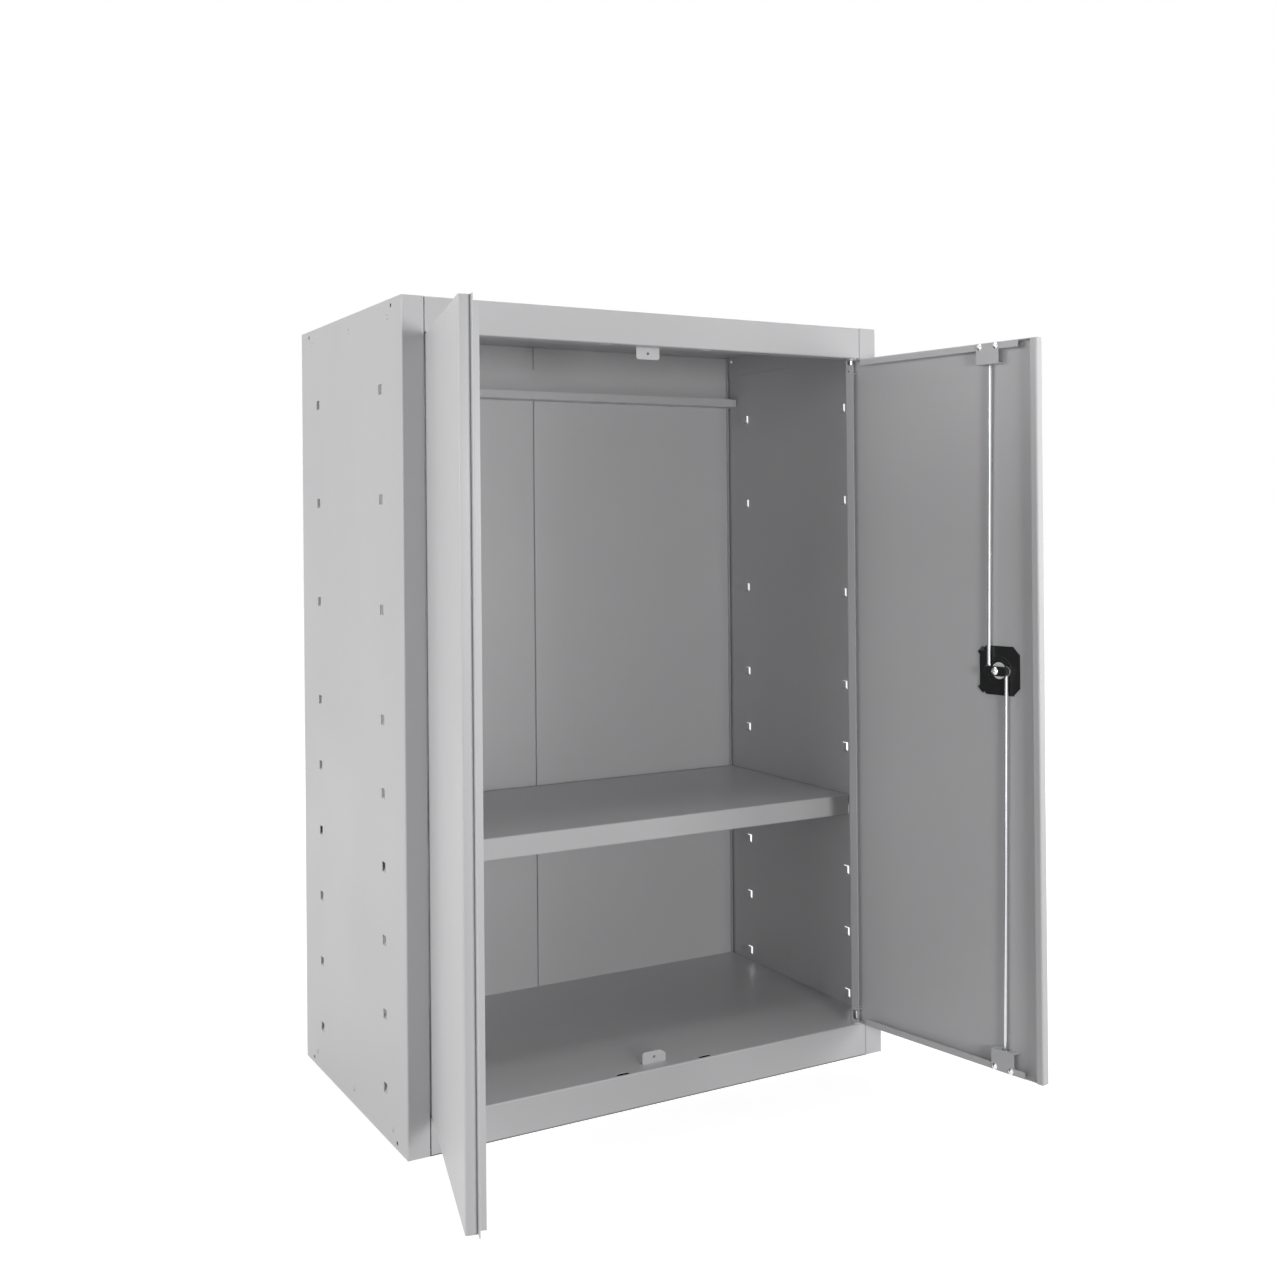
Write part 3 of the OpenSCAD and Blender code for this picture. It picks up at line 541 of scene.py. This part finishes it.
# %% Top tray
HEADER_H = header[1][2] - header[0][2]
STOP_Y = 20.0
FLANGE_H, FLANGE_START, FLANGE_GAP = 32, 30, 8
FLANGE_END = CAB_D - BACK_RECESS - FLANGE_GAP
DOOR_T, LOCK_INSET, GUIDE_OFF, MID_GAP = 12, 66, 6.75, 1.5
ROD_SLOT_L, ROD_SLOT_W = 18.4, 7
INTO_BEND = 0.8
ACROSS = [[0, 1, 0], [0, 0, 1], [1, 0, 0]]
inner_x = CAB_W / 2 - SHEET - FIT
front_x = CAB_W / 2 - POST - FIT
rear_x = CAB_W / 2 - REAR_POST - FIT
header_z = CAB_H - HEADER_H


def side_notches(s0, s1, width):
    """Cuts that narrow a tray to the given half width between s0 and s1."""
    return [(s0, s1, -inner_x, -width, 0), (s0, s1, width, inner_x, 0)]


def rod_slots(s, guide_off):
    """A slot on each side of the middle, over the place where a rod's guide stands when the doors are shut."""
    place = LOCK_INSET + MID_GAP / 2 + guide_off
    return [stadium(s, side * place, ROD_SLOT_W, ROD_SLOT_L) for side in (-1, 1)]


def side_flanges(low, high):
    """Flat flanges at both ends of a tray, standing against the walls."""
    part = sheet_grid([(FLANGE_START, 0), (FLANGE_END, 0)], low, high,
                      [hole(y - FLANGE_START, z, CORNER_D) for y in (CORNER_INSET, CAB_D - CORNER_INSET)
                       for z in (CORNER_LEVEL, CAB_H - CORNER_LEVEL) if low < z - CORNER_D and z < high])
    return [placed(part, [[0, 1, 0], [1, 0, 0], UP], (side * (inner_x - half), FRONT, 0)) for side in (-1, 1)]


def top_tray():
    """Front-to-back section of the top, from the header's lip to the rear flange, extruded across."""
    section = [(STOP_Y, header_z + half), (half, header_z + half), (half, CAB_H - half),
               (CAB_D - half, CAB_H - half), (CAB_D - half, header_z)]
    corner = (STOP_Y - half) + (HEADER_H - SHEET)
    rear = corner + CAB_D - SHEET
    cuts = (side_notches(0, corner + INTO_BEND, front_x)
            + side_notches(rear - INTO_BEND, rear + HEADER_H, rear_x)
            + rod_slots(STOP_Y - DOOR_T / 2, GUIDE_OFF))
    return sheet_grid(section, -inner_x, inner_x, cuts)


make_piece("folded_top_panel", [placed(top_tray(), ACROSS, (0, FRONT, 0))]
           + side_flanges(CAB_H - FLANGE_H, CAB_H - SHEET), light_grey, "cabinet", ["top_panel"])

# %% [markdown]
# The bottom tray is the floor. Its plinth goes down in front and turns under as the lip that stands on the
# ground, and behind it does the same. It is cut back in front for the posts, and behind for the rear posts'
# lips, which carry the back. The rods' slots lie in the middle plane of the shut doors, as in the top.

# %% Bottom tray


def bottom_tray():
    """Front-to-back section of the floor, from the plinth's lip to the rear lip, extruded across."""
    lip = -2 * FRONT
    section = [(lip, half), (half, half), (half, TOE_H - half), (CAB_D - half, TOE_H - half),
               (CAB_D - half, half), (CAB_D - lip, half)]
    corner = (lip - half) + (TOE_H - SHEET)
    rear = corner + CAB_D - SHEET
    lip_x = rear_x - REAR_LIP
    cuts = (side_notches(0, corner + POST_RETURN + FIT, front_x)
            + side_notches(corner + CAB_D - BACK_RECESS - SHEET, rear - INTO_BEND, lip_x)
            + side_notches(rear - INTO_BEND, rear + TOE_H + lip, rear_x)
            + rod_slots(corner + DOOR_T / 2 - half, -GUIDE_OFF))
    return sheet_grid(section, -inner_x, inner_x, cuts)


make_piece("folded_bottom_panel", [placed(bottom_tray(), ACROSS, (0, FRONT, 0))]
           + side_flanges(TOE_H - FLANGE_H, TOE_H - SHEET), light_grey, "cabinet", ["bottom_panel"])

# %% [markdown]
# The shelf is a sheet folded down on all four sides, with a narrow hem turned under in front and at the ends,
# which makes it stiff and kind to hands. Its front fold is the brightest line in the picture's middle, so its
# arc matters most. The end folds are two more sheets of the same kind that meet the first at its edges, with
# the notches by which they hang on the lugs.

# %% Shelf
shelf_box = [np.array(corner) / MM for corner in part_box("shelf")]
SHELF_HEM, SHELF_HANG, NOTCH_W, NOTCH_UNDER = 12, 13.5, 13, 0.9
END_FROM_FRONT, END_FROM_REAR, END_UNDER = 1.6, 1.1, 0.1


def shelf_parts():
    """Main sheet, extruded across, and two end sheets, extruded from front to back."""
    x1, y0, y1 = shelf_box[1][0], shelf_box[0][1] - FRONT, shelf_box[1][1] - FRONT
    low, high = shelf_box[0][2] + half, shelf_box[1][2] - half
    across = [(y0 + SHELF_HEM, low), (y0 + half, low), (y0 + half, high), (y1 - half, high),
              (y1 - half, low - half)]
    ends = [(x1 - SHELF_HEM, low), (x1 - half, low), (x1 - half, high - END_UNDER)]
    up = SHELF_HEM - half
    notches = [(up - NOTCH_UNDER, up - half + SHELF_HANG, y - NOTCH_W / 2, y + NOTCH_W / 2, 0) for y in LUG_Y]
    end = sheet_grid(ends, y0 + END_FROM_FRONT, y1 - END_FROM_REAR, notches)
    parts = [placed(sheet_grid(across, -x1, x1), ACROSS, (0, FRONT, 0))]
    return parts + [placed(end, [[side, 0, 0], [0, 0, 1], [0, 1, 0]], (0, FRONT, 0)) for side in (-1, 1)]


make_piece("folded_shelf", shelf_parts(), light_grey, "cabinet", ["shelf"])

# %% [markdown]
# The back is two sheets that meet in a standing seam behind, so from the front the join is only a thin
# upright line. A channel runs across the top in front of them, with its lip turned up.

# %% Back panels and rail
rail_box = [np.array(corner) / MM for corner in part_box("back_rail")]
back_box = [np.array(corner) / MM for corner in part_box("back_panel_left")]
RAIL_LIP, RAIL_HOLE_UP, RAIL_HOLE_D = 12, 22, 4


def back_half():
    """Plan section of the left back panel: flange beside the wall, sheet, and half of the seam."""
    x0, x1 = back_box[0][0] + half, back_box[1][0] - half
    y0, y1, sheet_y = back_box[0][1] - FRONT, back_box[1][1] - FRONT, CAB_D - BACK_RECESS - half
    section = [(x0, y0), (x0, sheet_y), (x1, sheet_y), (x1, y1)]
    return sheet_grid(section, back_box[0][2], back_box[1][2])


def rail():
    """Front-to-back section of the channel, from the lip's edge down, back and up the web."""
    y0, y1 = rail_box[0][1] - FRONT, rail_box[1][1] - FRONT
    low, high = rail_box[0][2], rail_box[1][2]
    section = [(y0 + half, low + RAIL_LIP), (y0 + half, low + half), (y1 - half, low + half),
               (y1 - half, high)]
    web = RAIL_LIP - half + (y1 - y0 - SHEET) - half
    holes = [hole(web + RAIL_HOLE_UP, side * rail_box[1][0] / 2, RAIL_HOLE_D) for side in (-1, 1)]
    return sheet_grid(section, rail_box[0][0], rail_box[1][0], holes)


back_part = back_half()
for side, name in ((1, "back_panel_left"), (-1, "back_panel_right")):
    make_piece("folded_" + name, [placed(back_part, [[side, 0, 0], [0, 1, 0], UP], (0, FRONT, 0))], light_grey,
               "cabinet", [name])
make_piece("folded_back_rail", [placed(rail(), ACROSS, (0, FRONT, 0))], light_grey, "cabinet",
           ["back_rail"])

# %% [markdown]
# Each door is a shallow tray, drawn in its own frame: u from the hinge edge, v inwards from the outer skin,
# and height. The frame is turned by the angle at which the door stands open. That angle is the far end of the
# door's joint, because the joint counts from the open door and ends where the door is shut.

# %% Where the doors stand
DOOR_GAP, PIN_INSET, END_GAP = 2, 7, 2
door_w = CAB_W / 2 - POST - DOOR_GAP - MID_GAP / 2
door_low, door_high = TOE_H + END_GAP, header_z - END_GAP


def door_frame(side, joint):
    """Axes and origin of a door's frame at rest: u points from the hinge to the free edge, v to the inside."""
    pivot = np.array(joint["pos_m"]) / MM
    opening = math.radians(joint["range_deg"][1])
    u = np.array([side * math.cos(opening), -math.sin(opening), 0])
    v = np.array([side * math.sin(opening), math.cos(opening), 0])
    origin = pivot - PIN_INSET * u - DOOR_T / 2 * v
    return [u, v, np.array(UP)], origin * [1, 1, 0]


left_axes, left_origin = door_frame(1, joints["left_door_hinge"])
right_axes, right_origin = door_frame(-1, joints["right_door_hinge"])
print("doors", round(float(door_w), 2), "wide, from", round(float(door_low), 1), "to",
      round(float(door_high), 1), "high")

# %% [markdown]
# The bend beside the post is wider than the others, so that the door can swing past the post. The inner lips
# stop short of the corners, and the hinge side has a window where its pin shows. Each end of the door is an
# angle of the same sheet, with a slot for the rod where the door locks.

# %% Doors
HINGE_LIP, EDGE_LIP, HINGE_NOTCH, FREE_NOTCH, HINGE_BEND = 15, 9, 28, 27, 3
PIN_D, ROD_D, GUIDE_ROOM, LOCK_Z, NECK_D = 6, 5, 3.2, 545, 20
WINDOW_SIDE, WINDOW_LOW, WINDOW_HIGH, WINDOW_R = 2, 4, 16.5, 0.8
PIN_HOLE_DOWN, PIN_HOLE_D = 16, 3
LIP_END_SHORT, LIP_END_H, LIP_LEFT = 2.8, 7, 3
SKIN_INSET, END_INSET, ROD_PLAY, SLOT_SPARE = 0.4, 1.2, 1.2, 2


def door_pan(locks):
    """Upright sheet with hinge edge and free edge, and two L-shaped sheets for the door's ends.

    Where the door locks, the skin has the lock's hole and each end has a slot for its rod.
    """
    inner = DOOR_T - half
    section = [(HINGE_LIP, inner), (half, inner), (half, half), (door_w - half, half), (door_w - half, inner),
               (door_w - EDGE_LIP, inner)]
    radii = [HINGE_BEND - half, HINGE_BEND - half, BEND, BEND]
    to_pin = HINGE_LIP - PIN_INSET
    window = (to_pin - PIN_D / 2 - WINDOW_SIDE, to_pin + PIN_D / 2, door_low + WINDOW_LOW,
              door_low + WINDOW_HIGH, WINDOW_R)
    top_end = (0, HINGE_LIP - half - LIP_END_SHORT, door_high - LIP_END_H, door_high, 0)
    pin_hole = hole(to_pin, door_high - PIN_HOLE_DOWN, PIN_HOLE_D)
    lock_u = door_w - LOCK_INSET
    to_skin = HINGE_LIP - half + DOOR_T - SHEET - half
    lock_hole = [hole(to_skin + lock_u, LOCK_Z, NECK_D)] if locks else []
    skin = sheet_grid(section, door_low + SKIN_INSET, door_high - SKIN_INSET,
                      [window, top_end, pin_hole] + lock_hole, radii)
    parts = [skin]
    for edge, inward in ((door_low, 1), (door_high, -1)):
        ell = [(half, edge + inward * half), (inner, edge + inward * half), (inner, edge + inward * EDGE_LIP)]
        lip, past_lip = DOOR_T - LIP_LEFT, DOOR_T + EDGE_LIP
        cuts = [(lip, past_lip, 0, HINGE_NOTCH, 0), (lip, past_lip, door_w - FREE_NOTCH, door_w, 0)]
        if locks:
            cuts.append(stadium(DOOR_T / 2 - half, lock_u + inward * GUIDE_OFF, ROD_D + ROD_PLAY,
                                ROD_D + 2 * GUIDE_ROOM + SLOT_SPARE))
        part = sheet_grid(ell, END_INSET, door_w - END_INSET, cuts)
        parts.append((part[0][:, [2, 0, 1]], part[1]))
    return parts


make_piece("folded_left_door", [placed(part, left_axes, left_origin) for part in door_pan(False)],
           light_grey, "left_door", ["left_door_panel"])
make_piece("folded_right_door", [placed(part, right_axes, right_origin) for part in door_pan(True)],
           light_grey, "right_door", ["right_door_panel"])

# %% [markdown]
# The left door carries a closing strip, so that the right door has something to close against. It lies on the
# free edge's lip, steps out by 0.6 mm and ends in a fold that meets the stops.

# %% Closing strip
STRIP_LAP, STRIP_STEP, STRIP_REACH, STRIP_FOLD, STRIP_CUT = 20, 0.6, 9, 7, 8
STRIP_RAMP, STRIP_BENDS = 2, [2, 2, 1.2]


def closing_strip():
    """Plan section of the strip in the left door's frame, with the fold cut shorter at both ends."""
    low, end = DOOR_T + half, door_w + STRIP_REACH
    section = [(door_w - STRIP_LAP, low), (door_w - STRIP_RAMP, low), (door_w, low + STRIP_STEP),
               (end - half, low + STRIP_STEP), (end - half, DOOR_T + STRIP_STEP + STRIP_FOLD)]
    total = section_marks(section, STRIP_BENDS)[1]
    fold = total - STRIP_FOLD + half
    cuts = [(fold, total, door_low, door_low + STRIP_CUT, 0),
            (fold, total, door_high - STRIP_CUT, door_high, 0)]
    return sheet_grid(section, door_low, door_high, cuts, STRIP_BENDS)


make_piece("folded_closing_strip", [placed(closing_strip(), left_axes, left_origin)], light_grey, "left_door",
           ["closing_strip"])

# %% [markdown]
# The small fittings have the right shape as solids, but a solid's facets and knife edges give it away up
# close. So each one is copied, its loose triangles are merged into plain faces, and a bevel breaks its edges:
# a few tenths of a millimetre on metal, as a tumbled part has them, and more on the moulded handle and rose.
# Round faces are shaded smooth. Frame rivets, stops and guides are painted with the cabinet.

# %% Small fittings
FLAT_WITHIN, SMOOTH_WITHIN, EDGE_FROM = math.radians(0.5), math.radians(35), math.radians(40)


def softened(name, material, width):
    """A copy of the solid called name, with flat triangles joined and edges bevelled by width millimetres."""
    mesh = frame["nodes"][name].data.copy()
    shape = bmesh.new()
    shape.from_mesh(mesh)
    bmesh.ops.remove_doubles(shape, verts=shape.verts, dist=WELD)
    bmesh.ops.dissolve_limit(shape, angle_limit=FLAT_WITHIN, verts=shape.verts, edges=shape.edges)
    bmesh.ops.recalc_face_normals(shape, faces=shape.faces)
    shape.to_mesh(mesh)
    shape.free()
    mesh.polygons.foreach_set("use_smooth", [True] * len(mesh.polygons))
    mesh.set_sharp_from_angle(angle=SMOOTH_WITHIN)
    mesh.materials.clear()
    mesh.materials.append(material)
    piece = bpy.data.objects.new("fitted_" + name, mesh)
    bpy.context.collection.objects.link(piece)
    if width:
        rounding = piece.modifiers.new("edges", "BEVEL")
        rounding.width = width * MM
        rounding.segments = 2
        rounding.limit_method = "ANGLE"
        rounding.angle_limit = EDGE_FROM
    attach(piece, body_of[name])
    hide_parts(name)
    print(piece.name, len(mesh.polygons), "faces")
    return piece


FITTINGS = (
    (light_grey, "paint", {"frame_rivets": 0, "door_stop_top": 0.2, "door_stop_bottom": 0.2,
                           "rod_guide_top": 0.2, "rod_guide_bottom": 0.2}),
    (bright, "bright_steel", {"back_rivets": 0, "strip_rivets": 0, "guide_rivets": 0, "left_hinge_pins": 0.3,
                              "right_hinge_pins": 0.3, "cam_pins": 0.2, "cam_screw": 0.15, "key_plug": 0.3}),
    (zinc, "zinc", {"left_pin_brackets": 0.2, "right_pin_brackets": 0.2, "lock_spindle": 0.2}),
    (satin, "zinc", {"lock_washer": 0.15}),
    (rod_steel, "zinc", {"upper_rod": 0.2, "lower_rod": 0.2}),
    (nylon, "nylon", {"hinge_bushes": 0.2}),
    (black_plastic, "black_plastic", {"lock_plate": 0.4, "lock_escutcheon": 1.2, "turn_handle": 1.5}),
    (black_steel, "black_steel", {"cam_bar": 0.3}))
for material, slot, widths in FITTINGS:
    for name, width in widths.items():
        softened(name, material, width)

# %% [markdown]
# The lock plate is moulded with two low rings around the washer, which catch a little light on the black. A
# ring is a half oval swept about the lock's axis, so its points depend on an angle about the axis and one
# across the ring. It stays low enough for the rods to pass, and its flat side is sunk a little into the
# plate.

# %% Rings on the lock plate
RING_RADII, RING_WIDTH, RING_RISE, RING_SUNK = (13.5, 18.0), 1.4, 0.4, 0.05
RING_STEPS, ARCH_STEPS, RING_SMOOTH = 64, 6, 40


def ring(radius, middle, axis, upright):
    """Points and faces of a ring of half-oval section about axis.

    A point lies at radius + width/2 cos b from the axis, in direction a, and rise times sin b above middle.
    """
    a = np.linspace(0, 2 * np.pi, RING_STEPS, endpoint=False)[:, None, None]
    b = np.linspace(0, np.pi, ARCH_STEPS + 1)[None, :, None]
    out = np.cos(a) * upright + np.sin(a) * np.cross(axis, upright)
    points = middle + (radius + RING_WIDTH / 2 * np.cos(b)) * out + (RING_RISE * np.sin(b) - RING_SUNK) * axis
    across = points.shape[1]
    index = np.arange(RING_STEPS * across).reshape(RING_STEPS, across)
    after = np.roll(index, -1, axis=0)
    faces = np.stack([index, after, np.roll(after, -1, axis=1), np.roll(index, -1, axis=1)], axis=-1)
    return points.reshape(-1, 3), faces.reshape(-1, 4).tolist()


inwards = right_axes[1]
plate_mesh = frame["nodes"]["lock_plate"].data
plate_face = max(float(np.dot(vertex.co, inwards)) for vertex in plate_mesh.vertices) / MM
lock_pivot = np.array(joints["lock_turn"]["pos_m"]) / MM
plate_middle = lock_pivot + (plate_face - np.dot(lock_pivot, inwards)) * inwards
make_piece("lock_plate_rings", [ring(radius, plate_middle, inwards, np.array(UP)) for radius in RING_RADII],
           black_plastic, "right_door", smooth=RING_SMOOTH)

# %% [markdown]
# The picture's light is soft and comes from both sides more than from the front. A large softbox straight to
# the left lights the outer wall and the doors, and the open left door keeps it out of the inside and off its
# own post. A narrow one beside it looks past that door at the right door. A small one in front reaches the
# back panels, and two on the right light the header and the posts. One above and one behind keep the views
# from there readable.

# %% Lamps
# Each has a name, its place and its target in metres, a width and height in metres, and watts.
SOFTBOXES = (("left_softbox", (-3.0, 0.3, 0.95), (-0.3, 0.1, 0.5), 1.6, 1.8, 37),
             ("left_strip", (-2.7, -1.55, 0.95), (-0.3, 0, 0.5), 0.9, 1.6, 15),
             ("front_softbox", (-0.25, -3.2, 0.7), (0, 0, 0.55), 0.7, 0.5, 31),
             ("front_right_strip", (1.85, -2.6, 0.7), (0, 0, 0.5), 0.9, 1.4, 14),
             ("right_softbox", (2.6, -1.3, 0.95), (0.2, 0, 0.5), 1.4, 1.8, 27),
             ("rear_softbox", (1.7, 2.6, 1.2), (0.2, 0.3, 0.5), 1.8, 1.8, 60),
             ("overhead_softbox", (0.1, 0.1, 3.2), (0, 0.1, 0.5), 1.6, 1.2, 24))


def lamp(name, place, target, width, height, watts):
    """An area lamp at place, turned towards target, all in metres. The camera doesn't see it."""
    light = bpy.data.lights.new(name, "AREA")
    light.shape = "RECTANGLE"
    light.size, light.size_y = width, height
    light.energy = watts
    holder = bpy.data.objects.new(name, light)
    bpy.context.collection.objects.link(holder)
    holder.location = place
    holder.rotation_euler = (Vector(target) - Vector(place)).to_track_quat("-Z", "Y").to_euler()
    holder.visible_camera = False
    return holder


for box in SOFTBOXES:
    print(lamp(*box).name, box[-1], "watts")

# %% [markdown]
# The world adds only a little light, but to the camera, in reflections and through glass it is white. A
# strength of 1 is white, so the background needs no more light on the cabinet.

# %% World
WORLD_LIGHT = 0.1


def seen(owner):
    """1 for rays from the camera, in reflections and through glass, and 0 for light that falls on things."""
    rays = add_node(owner, "ShaderNodeLightPath")
    straight = add_node(owner, "ShaderNodeMath", {0: rays.outputs["Is Camera Ray"],
                        1: rays.outputs["Is Glossy Ray"]}, operation="MAXIMUM")
    return add_node(owner, "ShaderNodeMath", {0: straight.outputs[0], 1: rays.outputs["Is Transmission Ray"]},
                    operation="MAXIMUM").outputs[0]


world = bpy.data.worlds.new("studio")
world.use_nodes = True
world.node_tree.nodes.clear()
bpy.context.scene.world = world
power = add_node(world, "ShaderNodeMapRange", {"Value": seen(world), "To Min": WORLD_LIGHT, "To Max": 1.0})
sky = add_node(world, "ShaderNodeBackground", {"Color": (1, 1, 1, 1), "Strength": power.outputs["Result"]})
add_node(world, "ShaderNodeOutputWorld", {"Surface": sky.outputs[0]})
print("world", world.name, "lights with", WORLD_LIGHT)

# %% [markdown]
# The floor is a pale matt sheet that keeps the cabinet's shadow. Beside the cabinet it glows a little less
# than white to the camera, so the shadow shows, and it fades to white farther out, where it meets the
# background. Under the cabinet its colour is painted black: a painted shade that stands in for the shadow
# there, so that what shows through the floor's slots and under the plinth is dark.

# %% Floor
FLOOR_TONE, NEAR_GLOW, NEAR, FAR = 0.43, 0.8, 0.7, 2.2
REACH = 12.0
studio_floor, floor_output = new_material("studio_floor")
spot = add_node(studio_floor, "ShaderNodeTexCoord").outputs["Object"]
centred = add_node(studio_floor, "ShaderNodeMapping",
                   {"Vector": spot, "Location": (0, -(FRONT + CAB_D / 2) * MM, 0)}).outputs[0]
outline = add_node(studio_floor, "ShaderNodeVectorMath",
                   {0: centred, 1: (2 / CAB_W / MM, 2 / CAB_D / MM, 0)}, operation="MULTIPLY").outputs[0]
sides = add_node(studio_floor, "ShaderNodeVectorMath", {0: outline}, operation="ABSOLUTE").outputs[0]
axes = add_node(studio_floor, "ShaderNodeSeparateXYZ", {"Vector": sides})
farther = add_node(studio_floor, "ShaderNodeMath", {0: axes.outputs["X"], 1: axes.outputs["Y"]},
                   operation="MAXIMUM").outputs[0]
open_floor = add_node(studio_floor, "ShaderNodeMath", {0: farther, 1: 1.0},
                      operation="GREATER_THAN").outputs[0]
glow_share = add_node(studio_floor, "ShaderNodeMath", {0: open_floor, 1: seen(studio_floor)},
                      operation="MULTIPLY").outputs[0]
distance = add_node(studio_floor, "ShaderNodeVectorMath", {0: centred}, operation="LENGTH").outputs["Value"]
fade = add_node(studio_floor, "ShaderNodeMapRange", {"Value": distance, "From Min": NEAR, "From Max": FAR,
                "To Min": NEAR_GLOW, "To Max": 1.0}).outputs["Result"]
glow_power = add_node(studio_floor, "ShaderNodeMath", {0: glow_share, 1: fade},
                      operation="MULTIPLY").outputs[0]
# Painted shade: the floor's colour is black inside the cabinet's outline, where the open_floor mask is 0.
tone = add_node(studio_floor, "ShaderNodeMath", {0: open_floor, 1: FLOOR_TONE},
                operation="MULTIPLY").outputs[0]
pale = add_node(studio_floor, "ShaderNodeBsdfDiffuse", {"Color": tone})
glow = add_node(studio_floor, "ShaderNodeEmission", {"Color": (1, 1, 1, 1), "Strength": glow_power})
both = add_node(studio_floor, "ShaderNodeAddShader", {0: pale.outputs[0], 1: glow.outputs[0]})
studio_floor.node_tree.links.new(both.outputs[0], floor_output.inputs["Surface"])
floor_mesh = bpy.data.meshes.new("floor")
floor_mesh.from_pydata([(-REACH, -REACH, 0), (REACH, -REACH, 0), (REACH, REACH, 0), (-REACH, REACH, 0)], [],
                       [(0, 1, 2, 3)])
floor_mesh.materials.append(studio_floor)
floor = bpy.data.objects.new("floor", floor_mesh)
bpy.context.collection.objects.link(floor)
print("floor", 2 * REACH, "m wide, white from", FAR, "m")
